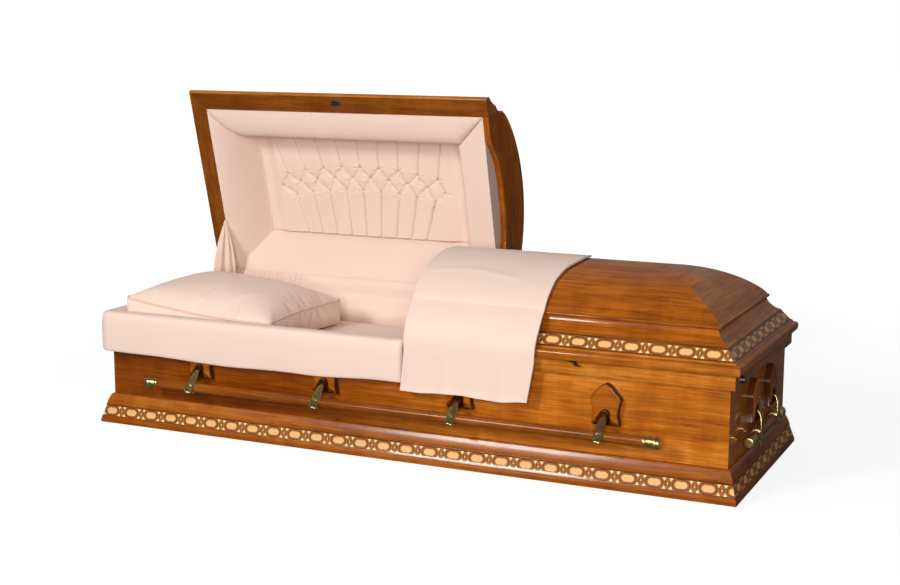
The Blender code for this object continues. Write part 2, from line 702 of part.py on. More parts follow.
# A handle on one side: turn faces it outward, reach is the body's half size there
def build_handle(word, turn, reach, places, half_bar, swing, plate_mesh, arm_mesh):
    side = bpy.data.objects.new(f"{word}_handle_side", None)
    side.rotation_euler = (0, 0, turn)
    PARTS.objects.link(side)
    pivot = bpy.data.objects.new(f"{word}_handle_pivot", None)
    pivot.parent = side
    pivot.location = (0, -(reach + PIN_OUT), PIN_HEIGHT)
    pivot.rotation_euler = (-swing, 0, 0)
    PARTS.objects.link(pivot)

    for number, x in enumerate(places, 1):
        plate = bpy.data.objects.new(f"{word}_plate_{number}", plate_mesh)
        plate.parent = side
        plate.location = (x, -(reach + PIN_OUT), PIN_HEIGHT)
        arm = bpy.data.objects.new(f"{word}_arm_{number}", arm_mesh)
        arm.parent = pivot
        arm.location = (x, 0, 0)
        for made in (plate, arm):
            PARTS.objects.link(made)

    bar_end = half_bar - 3 * CAP_WALL - GAP
    bar = rod_mesh(BAR_RADIUS, (-bar_end, -BAR_OUT, -BAR_DROP), (bar_end, -BAR_OUT, -BAR_DROP))
    part(f"{word}_bar", bar, WOOD, pivot)
    for number, way in ((1, -1), (2, 1)):
        cap = part(f"{word}_cap_{number}", cap_mesh(), BRASS, pivot)
        cap.location = (way * (half_bar - CAP_LENGTH), -BAR_OUT, -BAR_DROP)
        cap.rotation_euler = (0, 0, 0 if way > 0 else math.pi)


def build_handles():
    plate_mesh = finished_mesh(plate_object())
    arm_mesh = finished_mesh(arm_object())
    for mesh, look in ((plate_mesh, WOOD), (arm_mesh, BRASS)):
        mesh.materials.clear()
        mesh.materials.append(material("handle_plate" if look is WOOD else "handle_arm", look))
    quarter = math.pi / 2
    build_handle("front", 0, BODY_Y, SIDE_ARMS, SIDE_BAR_HALF, SIDE_SWING, plate_mesh, arm_mesh)
    build_handle("back", 2 * quarter, BODY_Y, SIDE_ARMS, SIDE_BAR_HALF, SIDE_SWING, plate_mesh, arm_mesh)
    build_handle("head", -quarter, BODY_X, END_ARMS, END_BAR_HALF, 0, plate_mesh, arm_mesh)
    build_handle("foot", quarter, BODY_X, END_ARMS, END_BAR_HALF, 0, plate_mesh, arm_mesh)


# Socket for the crank that raises the bed, on the rail at the foot end
def build_crank_fitting():
    x = BODY_X + RAIL_OUTSET + GAP
    y = CRANK_IN - BODY_Y
    z = RAIL_TOP - RAIL_HEIGHT / 2
    end = x + CRANK_LENGTH
    made = part("crank_fitting", rod_mesh(CRANK_RADIUS, (x, y, z), (end, y, z)), DARK_METAL)
    socket = rod_mesh(CRANK_SOCKET, (end - CRANK_SOCKET_DEPTH, y, z), (end + CRANK_LENGTH, y, z), 6)
    boolean(made, cutter("crank_socket", socket))


build_body()
head_hinge, head_rim = build_lid("head_lid", -1, HEAD_LID_OPEN)
foot_hinge, foot_rim = build_lid("foot_lid", 1, 0.0)
corner = BODY_X - HINGE_END_MARGIN
build_hinge("head_lid", head_rim, head_hinge, -corner, LID_PART - HINGE_END_MARGIN)
build_hinge("foot_lid", foot_rim, foot_hinge, FOOT_LID_START + HINGE_END_MARGIN, corner)
build_lock_plate(head_rim, head_hinge)
build_lining_tray()
build_mattress_and_pillow()
build_apron()
build_throw(foot_hinge)
build_handles()
build_crank_fitting()
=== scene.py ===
# %% [markdown]
# Half-couch wooden casket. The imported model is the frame: every piece made here sits on it, in metres, with the
# head end at -X, the front at -Y and the hinges along the back. The head lid is open, so its pieces are made
# shut, where they are easy to measure, and are then turned about the hinge.

import math

import bmesh
import bpy
import numpy as np
from mathutils import Euler, Matrix, Vector, noise


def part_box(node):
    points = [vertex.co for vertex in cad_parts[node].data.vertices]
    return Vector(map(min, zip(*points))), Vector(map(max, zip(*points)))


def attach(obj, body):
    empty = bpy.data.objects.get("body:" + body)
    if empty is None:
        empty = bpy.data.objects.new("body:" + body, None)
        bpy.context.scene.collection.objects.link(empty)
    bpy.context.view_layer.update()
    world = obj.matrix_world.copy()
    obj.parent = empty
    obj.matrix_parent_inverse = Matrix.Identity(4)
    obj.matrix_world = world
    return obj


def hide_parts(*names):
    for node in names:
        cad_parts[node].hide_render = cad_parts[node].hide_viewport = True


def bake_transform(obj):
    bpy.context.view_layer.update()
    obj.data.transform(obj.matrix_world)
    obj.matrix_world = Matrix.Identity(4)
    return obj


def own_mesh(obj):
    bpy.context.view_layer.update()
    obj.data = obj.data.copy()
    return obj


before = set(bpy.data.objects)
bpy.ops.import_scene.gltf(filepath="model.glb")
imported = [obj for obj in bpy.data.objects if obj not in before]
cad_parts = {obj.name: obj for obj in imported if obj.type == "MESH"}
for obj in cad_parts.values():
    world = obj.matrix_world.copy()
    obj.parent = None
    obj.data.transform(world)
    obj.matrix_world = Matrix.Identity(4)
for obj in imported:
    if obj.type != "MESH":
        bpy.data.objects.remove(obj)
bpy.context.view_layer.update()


def added(name, data):
    """A new object for the data, in the scene."""
    made = bpy.data.objects.new(name, data)
    bpy.context.scene.collection.objects.link(made)
    return made


# %% [markdown]
# The camera stands where the photograph was taken. Its place, turn and lens were solved from the corners and
# edges of the casket, so the lens is given here as a focal length in pixels of the 900 pixel wide frame.

# %% Camera
FRAME_WIDTH = 900
FOCAL_PIXELS = 1507.8
CAMERA_PLACE = (2.0050, -4.2895, 1.2883)
CAMERA_YAW, CAMERA_PITCH, CAMERA_ROLL = math.radians(24.69), math.radians(9.98), 0.0031

camera_data = bpy.data.cameras.new("photo_camera")
camera_data.sensor_width = 36.0
camera_data.lens = FOCAL_PIXELS / FRAME_WIDTH * camera_data.sensor_width
camera = added("photo_camera", camera_data)
looking = Euler((math.pi / 2 - CAMERA_PITCH, 0, CAMERA_YAW)).to_matrix() @ Matrix.Rotation(CAMERA_ROLL, 3, "Z")
camera.matrix_world = Matrix.Translation(CAMERA_PLACE) @ looking.to_4x4()
bpy.context.scene.camera = camera
print("lens", round(camera_data.lens, 2), "mm")

# %% [markdown]
# The photograph has an even white ground and soft light that comes from the front left, from a little above, so
# the front is bright, the top of the cloth is greyer and the foot end is in shade. The light from above would lie
# on the varnish as a grey veil, so it isn't seen in reflections.

# %% Lights
WARM_WHITE = (1.0, 0.985, 0.96)
CASKET_MIDDLE = (0, 0, 0.3)


def area_light(name, place, aim, size, power, colour):
    data = bpy.data.lights.new(name, "AREA")
    data.shape = "RECTANGLE"
    data.size, data.size_y = size
    data.energy, data.color = power, colour
    lamp = added(name, data)
    turn = (Vector(place) - Vector(aim)).to_track_quat("Z", "Y").to_matrix().to_4x4()
    lamp.matrix_world = Matrix.Translation(place) @ turn
    return lamp


area_light("key", (-1.9, -5.0, 3.2), CASKET_MIDDLE, (1.3, 1.3), 205, WARM_WHITE)
area_light("camera_fill", (2.2, -5.6, 1.6), CASKET_MIDDLE, (2.0, 1.4), 225, WARM_WHITE)
top_light = area_light("top", (-0.2, 0.2, 3.4), (0, 0, 0), (3.2, 1.8), 20, (1.0, 0.99, 0.98))
top_light.visible_glossy = False
bpy.context.scene.view_settings.view_transform = "Standard"

# %% [markdown]
# A finish is a material whose colour, roughness and bump come from nodes. The maths is written as Python
# expressions: a Wire wraps one socket, and adding or multiplying wires adds the Math nodes. Everything else goes
# through Nodes.node, which takes a node's type, its settings and what its sockets get. The sky is made the same way.

# %% Wires and finishes


class Wire:
    def __init__(self, maker, socket):
        self.maker, self.socket = maker, socket

    def math(self, operation, *others, first=None):
        values = [self if first is None else first, *others]
        return self.maker.node("ShaderNodeMath", {"operation": operation}, dict(enumerate(values)))

    def __add__(self, other):
        return self.math("ADD", other)

    def __sub__(self, other):
        return self.math("SUBTRACT", other)

    def __rsub__(self, other):
        return self.math("SUBTRACT", self, first=other)

    def __mul__(self, other):
        return self.math("MULTIPLY", other)

    def __truediv__(self, other):
        return self.math("DIVIDE", other)

    def __abs__(self):
        return self.math("ABSOLUTE")

    __radd__, __rmul__ = __add__, __mul__

    def fraction(self):
        return self.math("FRACT")

    def larger(self, other):
        return self.math("MAXIMUM", other)

    def mapped(self, start, end, low=0.0, high=1.0, shape="LINEAR"):
        """low at start, high at end, and no further beyond them."""
        values = {"Value": self, "From Min": start, "From Max": end, "To Min": low, "To Max": high}
        return self.maker.node("ShaderNodeMapRange", {"interpolation_type": shape}, values)

    def below(self, edge, soft):
        """1 where the value is under edge, falling to 0 over soft."""
        return self.mapped(edge - soft / 2, edge + soft / 2, 1.0, 0.0, "SMOOTHSTEP")

    def scaled(self, factors):
        """The vector with each axis multiplied."""
        return self.maker.node("ShaderNodeVectorMath", {"operation": "MULTIPLY"}, {0: self, 1: factors})

    def part(self, axis):
        """One axis of the vector."""
        return self.maker.node("ShaderNodeSeparateXYZ", {}, {"Vector": self}, out=axis)


class Nodes:
    """The nodes of a material or of the sky."""

    def __init__(self, owner):
        owner.use_nodes = True
        self.tree = owner.node_tree

    def put(self, socket, value):
        """Links a wire to the socket, or sets a number or colour on it."""
        if isinstance(value, Wire):
            self.tree.links.new(value.socket, socket)
        else:
            wide = socket.type == "RGBA" and len(value) == 3
            socket.default_value = (*value, 1.0) if wide else value

    def node(self, kind, settings=None, values=None, out=0):
        made = self.tree.nodes.new(kind)
        for name, value in (settings or {}).items():
            if name == "stops":
                ramp = made.color_ramp
                while len(ramp.elements) < len(value):
                    ramp.elements.new(0.5)
                for element, (position, colour) in zip(ramp.elements, value):
                    element.position = position
                    element.color = (*colour, 1.0)
            else:
                setattr(made, name, value)
        for name, value in (values or {}).items():
            self.put(made.inputs[name], value)
        return Wire(self, made.outputs[out])


class Finish(Nodes):
    """A material. A shut finish follows where its piece was before the lid was opened."""

    def __init__(self, name, shut=False, **constants):
        self.material = bpy.data.materials.new(name)
        super().__init__(self.material)
        self.shader = self.tree.nodes["Principled BSDF"]
        for socket, value in constants.items():
            self.feed(socket.replace("_", " "), value)
        if shut:
            self.object_place = self.node("ShaderNodeAttribute", {"attribute_name": "shut_place"}, out="Vector")
        else:
            self.object_place = self.node("ShaderNodeTexCoord", out="Object")
        chance = self.node("ShaderNodeObjectInfo", out="Random")
        shift = self.node("ShaderNodeCombineXYZ", {}, {"X": chance * 7.3, "Y": chance * 3.1, "Z": chance * 5.9})
        self.place = self.node("ShaderNodeVectorMath", {"operation": "ADD"}, {0: self.object_place, 1: shift})

    def feed(self, socket, value):
        self.put(self.shader.inputs[socket], value)

    def noise(self, vector, scale=1.0, detail=3.0, roughness=0.55, distortion=0.0):
        values = {"Vector": vector, "Scale": scale, "Detail": detail, "Roughness": roughness, "Distortion": distortion}
        return self.node("ShaderNodeTexNoise", {}, values)

    def pointiness(self):
        """Over 0.5 on an edge that stands out, and under it in a hollow."""
        return self.node("ShaderNodeNewGeometry", out="Pointiness")

    def even(self, value):
        """The grey that has the value in all three channels."""
        return self.node("ShaderNodeCombineXYZ", {}, dict.fromkeys("XYZ", value))

    def blend(self, factor, low, high, how="MIX"):
        settings = {"data_type": "RGBA", "blend_type": how}
        return self.node("ShaderNodeMix", settings, {0: factor, 6: low, 7: high}, out=2)

    def times(self, colour, other):
        return self.blend(1.0, colour, other, "MULTIPLY")

    def bump(self, height, distance, strength=1.0):
        values = {"Height": height, "Distance": distance, "Strength": strength}
        self.feed("Normal", self.node("ShaderNodeBump", {}, values))


# %% [markdown]
# The sky is white to the camera and dim as a light. What the varnish mirrors of it grows brighter towards the
# back, so the lids' tops get a soft sheen without an even veil.

# %% Sky
SKY_SEEN, SKY_LIGHT, SKY_MIRRORED = 1.0, 0.11, 0.22

world = bpy.data.worlds.new("studio")
sky = Nodes(world)
camera_ray = sky.node("ShaderNodeLightPath", out="Is Camera Ray")
glossy_ray = sky.node("ShaderNodeLightPath", out="Is Glossy Ray")
backward = sky.node("ShaderNodeTexCoord", out="Generated").part("Y")
sweep = backward.mapped(0.0, 0.9, SKY_LIGHT, SKY_MIRRORED, "SMOOTHSTEP")
background = sky.tree.nodes["Background"]
sky.put(background.inputs["Color"], (1.0, 1.0, 1.0))
unseen = glossy_ray.mapped(0.0, 1.0, SKY_LIGHT, sweep)
sky.put(background.inputs["Strength"], camera_ray.mapped(0.0, 1.0, unseen, SKY_SEEN))
bpy.context.scene.world = world
print("sky has", len(sky.tree.nodes), "nodes")

# %% [markdown]
# The boards are a warm orange-brown hardwood under a satin varnish. Grain is noise that is stretched along the
# board: broad light and dark clouds, stripes, fine lines, and small dark pores. Mouldings get painted shade in
# their hollows, which Geometry's pointiness finds.

# %% Wood
WOOD_LIGHT = (0.570, 0.190, 0.0220)
WOOD_MIDDLE = (0.370, 0.096, 0.0036)
WOOD_DARK = (0.120, 0.023, 0.0008)
PAINTED_SHADE = (0.045, 0.012, 0.004)
VARNISH = {"Coat_Weight": 0.42, "Coat_Roughness": 0.06, "Specular_IOR_Level": 0.10}
SATIN = VARNISH | {"Coat_Roughness": 0.16}


def stretched(wire, along, lengthwise, across):
    return wire.scaled([lengthwise if axis == along else across for axis in "XYZ"])


def wood_colour(finish, along, tone=1.0, shades=None):
    """The grain's colour. tone darkens it all, and shades are two tones that it goes between along X."""
    place = finish.place
    broad = finish.noise(stretched(place, along, 0.9, 7), detail=3, distortion=0.4)
    stripes = finish.noise(stretched(place, along, 3.2, 62), detail=5, roughness=0.66, distortion=0.25)
    fine = finish.noise(stretched(place, along, 11, 330), detail=3, roughness=0.6)
    pores = finish.noise(stretched(place, along, 26, 950), detail=2, roughness=0.6)
    mottle = finish.noise(stretched(place, along, 14, 5), detail=3, roughness=0.6)
    depth = broad * 0.58 + stripes * 0.52 + fine * 0.46 + mottle * 0.28 - 0.425
    stops = [(0.30, WOOD_LIGHT), (0.50, WOOD_MIDDLE), (0.76, WOOD_DARK)]
    colour = finish.node("ShaderNodeValToRGB", {"stops": stops}, {"Fac": depth})
    colour = finish.blend(pores.mapped(0.60, 0.74, 0.0, 0.6), colour, WOOD_DARK)
    if tone != 1.0:
        colour = finish.times(colour, (tone, tone * 0.94, tone * 0.85))
    if shades:
        far = 1 - (finish.object_place.part("X") + 0.10 * mottle).below(0.05, 0.9)
        colour = finish.times(colour, finish.blend(far, *shades))
    return colour, stripes, pores


def finish_wood(finish, colour, stripes, pores, shade_hollows):
    # Painted shade: the hollows that pointiness finds are darkened.
    if shade_hollows:
        colour = finish.blend(finish.pointiness().mapped(0.498, 0.43, 0.0, 0.92), colour, PAINTED_SHADE)
    finish.feed("Base Color", colour)
    finish.feed("Roughness", stripes * 0.16 + 0.24)
    finish.bump(pores * 0.6 + stripes * 0.4, 0.00035, 0.35)
    return finish.material


def wood(name, along, shade_hollows=False, tone=1.0, shades=None, shut=False, varnish=VARNISH):
    finish = Finish(name, shut, **varnish)
    return finish_wood(finish, *wood_colour(finish, along, tone, shades), shade_hollows)


def carved_wood(name):
    """Wood with painted shade on the carved rim: the more a face turns away from the front, the darker it is painted.
    """
    finish = Finish(name, **(VARNISH | {"Coat_Weight": 0.22, "Coat_Roughness": 0.14}))
    colour, stripes, pores = wood_colour(finish, "X", 0.80)
    # Painted shade on the faces that turn away from the front.
    turned = abs(finish.node("ShaderNodeTexCoord", out="Normal").part("Y")).below(0.66, 0.60)
    return finish_wood(finish, finish.blend(turned * 0.9, colour, PAINTED_SHADE), stripes, pores, True)


wood_x = wood("varnished_wood_lengthways", "X")
wood_y = wood("varnished_wood_crossways", "Y")
# The lengthways rail and rims are painted lighter all over: a painted highlight on faces that turn up to the front.
lit_shaded_moulding_x = wood("moulding_lengthways_painted_highlight_and_shade", "X", True, shades=((1.06, 1.16, 1.35), (1.08, 1.20, 1.45)))
shaded_moulding_y = wood("moulding_crossways_painted_shade", "Y", True)
crown_x = wood("crown_wood_lengthways", "X", True, shut=True)
crown_y = wood("crown_wood_crossways", "Y", True, shut=True)
header_y = wood("header_wood_crossways", "Y", shut=True)
base_x = wood("base_moulding_lengthways", "X", True, 0.76, varnish=SATIN)
base_y = wood("base_moulding_crossways", "Y", True, 0.84, varnish=SATIN)
front_x = wood("front_board_wood", "X", shades=((0.50, 0.37, 0.12), (1.30, 1.42, 2.2)))
# The dark frame wood is partly painted shade: the lid's underside frame is darker as if in shade, and the quirks get
# it as the shade in them.
frame_and_shade_x = wood("dark_frame_wood_painted_shade_lengthways", "X", True, 0.46)
frame_and_shade_y = wood("dark_frame_wood_painted_shade_crossways", "Y", True, 0.50)
bar_wood = wood("turned_bar_wood", "X", tone=0.60, varnish=VARNISH | {"Coat_Weight": 0.30, "Coat_Roughness": 0.20})
plate_wood = carved_wood("plate_wood_painted_edge_shade")
print("wood finishes", len([m for m in bpy.data.materials if m.use_nodes]))

# %% [markdown]
# The inlaid bands are marquetry: light ovals with a nick above and below, a dark outline, and between them four
# small light triangles round a little diamond. It is flat work, so it is drawn in the shader. The band's own
# coordinates are a, the length along it, and b, the height, both in steps of one oval and folded about its middle.

# %% Inlay
OVAL_PITCH = 0.0773
OVAL_WOOD = (0.80, 0.450, 0.185)
STRAW_WOOD = (0.84, 0.66, 0.31)
STRAP_WOOD = (0.36, 0.120, 0.026)
OUTLINE = (0.050, 0.014, 0.004)
# Painted shade: every crossways band is darkened, as the foot end is in shade.
END_PAINTED_SHADE = (1.0, 0.84, 0.66)  # the bands at the foot end are in shade


def inlay(name, along, heights, slope, phase=0.0, pitch=OVAL_PITCH):
    """heights are the band's lower and upper edge, slope how much longer it is than high, phase an oval's place."""
    finish = Finish(name, **VARNISH)
    colour, stripes, pores = wood_colour(finish, along)
    a = abs(((finish.object_place.part(along) - phase) / pitch + 0.5).fraction() - 0.5)
    b = abs(finish.object_place.part("Z") - sum(heights) / 2) * (slope / pitch)

    def oval(grow):
        x, y = (a - 0.078) / (0.166 + grow), b / (0.130 + grow)
        return (x * x + y * y).below(1.0, 0.10)

    def triangle(grow):
        inward = (b - 0.070) * 0.60 + grow
        return (abs(a - 0.372) - inward).below(0.0, 0.012) * b.below(0.202 + grow, 0.01)

    def diamond(grow):
        return ((0.5 - a) / (0.034 + grow) + b / (0.044 + grow)).below(1.0, 0.2)

    lattice = abs(abs(0.5 - a) - b * 0.62 - 0.052).below(0.010, 0.012)
    lines = (oval(0.082) - oval(0.058)).larger(lattice).larger(triangle(0.016)).larger(diamond(0.022))
    lines = lines.larger(oval(0.014)).larger(1 - b.below(0.214, 0.008))
    band = finish.blend(lines, finish.blend(0.82, colour, STRAP_WOOD), OUTLINE)
    band = finish.blend(triangle(0.0).larger(diamond(0.0)), band, STRAW_WOOD)
    band = finish.blend(oval(0.0), band, OVAL_WOOD)
    band = finish.times(band, finish.even(stripes * 0.5 + 0.72))
    # Painted shade on the crossways bands.
    if along == "Y":
        band = finish.times(band, END_PAINTED_SHADE)
    return finish_wood(finish, band, stripes, pores, False)


BASE_BAND = (0.0222, 0.0555)
LID_BAND = (0.3985, 0.4245)
base_inlay_x = inlay("base_inlay_lengthways", "X", BASE_BAND, 1.044, -0.021)
base_inlay_y = inlay("base_inlay_crossways", "Y", BASE_BAND, 1.044)
lid_inlay_x = inlay("lid_inlay_lengthways", "X", LID_BAND, 1.273, 0.980, 0.0783)
lid_inlay_y = inlay("lid_inlay_crossways", "Y", LID_BAND, 1.273)
print("inlays", [m.name for m in (base_inlay_x, base_inlay_y, lid_inlay_x, lid_inlay_y)])

# %% [markdown]
# The handles are cast metal with an antique brass finish: bright where hands rub the edges, olive-brown in the
# hollows. The lock, the crank's socket and the foot lid's catch are dark oxidised metal.

# %% Metal


def metal(name, bright, dark, rough):
    finish = Finish(name, Metallic=1.0, Specular_IOR_Level=0.5)
    cloud = finish.noise(finish.place, 38, detail=4, roughness=0.6)
    brushed = finish.noise(stretched(finish.place, "X", 60, 1400), detail=2)
    worn = finish.pointiness().mapped(0.47, 0.56)
    finish.feed("Base Color", finish.blend(worn * 0.65 + cloud * 0.45, dark, bright))
    finish.feed("Roughness", cloud * 0.20 + brushed * 0.10 + rough)
    finish.bump(cloud * 0.7 + brushed * 0.3, 0.0004, 0.25)
    return finish.material


antique_brass = metal("antique_brass", (0.68, 0.52, 0.22), (0.24, 0.175, 0.055), 0.16)
dark_metal = metal("oxidised_metal", (0.16, 0.15, 0.14), (0.03, 0.028, 0.026), 0.28)
print("metals", antique_brass.name, dark_metal.name)

# %% [markdown]
# All the cloth is one peach crepe: a fine crinkled weave, matt, with a faint sheen. The crinkle is a fine noise
# drawn out along the warp, with a finer one over it for the threads. Sewn hollows are shaded a little.

# %% Cloth
PEACH, PEACH_DEEP = (0.81, 0.632, 0.545), (0.75, 0.567, 0.480)
SEAM_SHADE = (0.66, 0.52, 0.44)


def cloth(name, light, deep, crinkle=1.0):
    finish = Finish(name, Sheen_Weight=0.12, Sheen_Roughness=0.5, Specular_IOR_Level=0.25)
    mottle = finish.noise(finish.place, 9, detail=4, roughness=0.6)
    crepe = finish.noise(finish.place.scaled((1.0, 1.0, 0.45)), 620, detail=3, roughness=0.65)
    threads = finish.noise(finish.place, 2400, detail=1)
    colour = finish.blend(mottle * 0.5 + crepe * 0.5 - 0.1, deep, light)
    hollow = finish.pointiness().mapped(0.485, 0.38, 0.0, 0.75)
    finish.feed("Base Color", finish.blend(hollow, colour, finish.times(colour, SEAM_SHADE)))
    finish.feed("Roughness", crepe * 0.2 + 0.68)
    finish.bump(crepe * 0.7 + threads * 0.3, 0.0006 * crinkle, 0.5)
    return finish.material


peach_cloth = cloth("peach_crepe", PEACH, PEACH_DEEP)
piping_cloth = cloth("peach_piping", (0.76, 0.54, 0.43), (0.68, 0.46, 0.36), 0.6)
print("cloths", peach_cloth.name, piping_cloth.name)

# %% [markdown]
# The floor is pale and plain. It glows a little, as a lit studio sweep does, so it stays close to white and
# still shows the soft shadow under the casket.

# %% Floor
FLOOR_RADIUS = 40.0

floor_mesh = bpy.data.meshes.new("floor")
floor_bm = bmesh.new()
bmesh.ops.create_circle(floor_bm, cap_ends=True, segments=64, radius=FLOOR_RADIUS)
floor_bm.to_mesh(floor_mesh)
floor_bm.free()
pale = Finish("pale_floor", Roughness=0.9, Specular_IOR_Level=0.0, Emission_Strength=1.0)
speck = pale.noise(pale.place, 3.0, detail=2) * 0.03
in_view = pale.node("ShaderNodeLightPath", out="Is Camera Ray")
away = pale.node("ShaderNodeVectorMath", {"operation": "LENGTH"}, {0: pale.object_place}, out=1)
pale.feed("Base Color", pale.even(in_view * 0.06 + speck + 0.16))
pale.feed("Emission Color", pale.even(in_view * (away.below(3.0, 3.6) * -0.20 + 1.05)))
floor_mesh.materials.append(pale.material)
floor = added("floor", floor_mesh)
print("floor", floor.dimensions.to_tuple(1))

# %% [markdown]
# Pieces are meshes from lists of points and faces. mesh_of makes one, welds it, turns its faces outward and marks
# the edges that are sharper than an angle, so that curves shade smoothly and corners stay crisp.

# %% Mesh helpers
SHARP = math.radians(32)
WELD, FINE_WELD = 2e-5, 1e-6


def mesh_of(name, points, faces, materials, kinds=None, sharp=SHARP, weld=WELD):
    """kinds gives each face's material by number."""
    bm = bmesh.new()
    made = [bm.verts.new(point) for point in points]
    for i, face in enumerate(faces):
        bm.faces.new([made[k] for k in face]).material_index = kinds[i] if kinds else 0
    if weld:
        bmesh.ops.remove_doubles(bm, verts=bm.verts, dist=weld)
    bmesh.ops.recalc_face_normals(bm, faces=bm.faces)
    mesh = bpy.data.meshes.new(name)
    bm.to_mesh(mesh)
    bm.free()
    mesh.shade_smooth()
    mesh.set_sharp_from_angle(angle=sharp)
    for material in materials:
        mesh.materials.append(material)
    return mesh


def shown(name, mesh, body, node=None, place=None):
    """The mesh as an object: the body it rides on and the solid that it stands for."""
    made = added(name, mesh)
    if place is not None:
        made.matrix_world = place
    if body:
        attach(made, body)
    if node:
        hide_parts(node)
    return made


def piece(
    name, points, faces, materials, body, slot, node=None, kinds=None, place=None, turned=None, sharp=SHARP,
    weld=WELD,
):
    """place moves the object. turned moves its points, and keeps where they were for the grain to follow."""
    mesh = mesh_of(name, points, faces, materials, kinds, sharp, weld)
    if turned is not None:
        shut = mesh.attributes.new("shut_place", "FLOAT_VECTOR", "POINT")
        shut.data.foreach_set("vector", np.array([v.co for v in mesh.vertices]).ravel())
        mesh.transform(turned)
    return shown(name, mesh, body, node, place)


def bevel(made, width):
    step = made.modifiers.new("edge", "BEVEL")
    step.width, step.segments, step.limit_method = width, 2, "ANGLE"


def circle(count):
    """Cosine and sine of points evenly round a circle."""
    turn = [2 * math.pi * i / count for i in range(count)]
    return [(math.cos(a), math.sin(a)) for a in turn]


def loft(rings, ends="capped"):
    """Points and faces of a tube through rings of equal counts. Its ends are capped, open or joined."""
    count, total = len(rings[0]), len(rings)
    points = [p for ring in rings for p in ring]
    faces = []
    for r in range(total if ends == "joined" else total - 1):
        low, high = r * count, (r + 1) % total * count
        faces += [(low + i, low + (i + 1) % count, high + (i + 1) % count, high + i) for i in range(count)]
    if ends == "capped":
        faces += [range(count), range((total - 1) * count, total * count)]
    return points, faces


def lathe(profile, count, middle=(0, 0, 0), ends="capped"):
    """A ring of points about an axis along X through middle, for each (along, radius)."""
    x, y, z = middle
    return loft([[(x + along, y + radius * c, z + radius * s) for c, s in circle(count)]
                 for along, radius in profile], ends)


def joined(parts):
    points, faces = [], []
    for some_points, some_faces in parts:
        base = len(points)
        points += some_points
        faces += [[base + k for k in face] for face in some_faces]
    return points, faces


def curve_through(points, steps):
    """A smooth line through the points, as a list that starts and ends on them."""
    points = [np.array(p, float) for p in points]
    found = []
    for i in range(len(points) - 1):
        before, start = points[max(i - 1, 0)], points[i]
        end, after = points[i + 1], points[min(i + 2, len(points) - 1)]
        for k in range(steps):
            t = k / steps
            found.append(
                0.5 * (2 * start + (end - before) * t + (2 * before - 5 * start + 4 * end - after) * t * t)
                + 0.5 * (3 * start - before - 3 * end + after) * t**3
            )
    found.append(points[-1])
    return found


# %% [markdown]
# A moulding is a profile carried round the casket and mitred at the corners. The profile is a list of runs, each
# with its kind, its steps and its line of (outset, height). A run is smooth inside and meets the next at a crisp
# edge. Legs along X have grain along X, and the end legs have it along Y, as real mitred boards do.

# %% Moulding helper
BODY_X, BODY_Y = 1.0305, 0.3375
HINGE_Y, HINGE_Z = 0.3582, 0.3593
HEAD_OPEN = math.radians(75.3)
HEAD_PLACE = (
    Matrix.Translation((0, HINGE_Y, HINGE_Z)) @ Matrix.Rotation(-HEAD_OPEN, 4, "X")
    @ Matrix.Translation((0, -HINGE_Y, -HINGE_Z))
)
PARTING = {"head_lid": 0.0790, "foot_lid": 0.0820}
END = {"head_lid": -1, "foot_lid": 1}
PLACE = {"head_lid": HEAD_PLACE, "foot_lid": Matrix.Identity(4)}
# Frame runs take the dark frame wood, whose darkness in the quirks is painted shade.
KINDS = {"wood": 0, "band": 2, "frame": 4}  # the first of each kind's two materials, along X and along Y


def all_round(outset):
    x, y = BODY_X + outset, BODY_Y + outset
    return [(-x, -y), (x, -y), (x, y), (-x, y)]


def three_sides(lid):
    def corners(outset):
        x, y = END[lid] * (BODY_X + outset), BODY_Y + outset
        start = PARTING[lid]
        return [(start, -y), (x, -y), (x, y), (start, y)]

    return corners


def profile_points(runs):
    points, kinds = [], []
    for kind, steps, line in runs:
        smooth = curve_through(line, steps)
        if points and np.allclose(points[-1], smooth[0], atol=1e-6):
            smooth = smooth[1:]
            kinds[-1] = kind
        points += smooth
        kinds += [kind] * len(smooth)
    return points, kinds


def moulding(
    name, runs, corners_at, materials, body, node, closed_route=True, closed_profile=True, place=None, turned=None,
):
    points, run_kinds = profile_points(runs)
    rows = [corners_at(outset) for outset, height in points]
    count = len(rows[0])
    vertices = [(x, y, points[i][1]) for i, row in enumerate(rows) for x, y in row]
    faces, kinds = [], []
    steps = [(i, i + 1) for i in range(len(points) - 1)]
    if closed_profile:
        steps.append((len(points) - 1, 0))
    for low, high in steps:
        for c in range(count if closed_route else count - 1):
            d = (c + 1) % count
            across = abs(rows[low][c][1] - rows[low][d][1]) > abs(rows[low][c][0] - rows[low][d][0])
            faces.append((low * count + c, low * count + d, high * count + d, high * count + c))
            kinds.append(KINDS[run_kinds[low]] + across)
    if not closed_route:
        for end in (0, count - 1):
            faces.append([i * count + end for i in range(len(points))])
            kinds.append(1)
    return piece(name, vertices, faces, materials, body, "body_wood", node, kinds, place, turned)


# %% [markdown]
# The base moulding: a foot, a sloping face with the inlaid band, a small quirk above it and a wide rounded
# shoulder up to the side boards. The top rail is a flat board with its outer edges rounded.

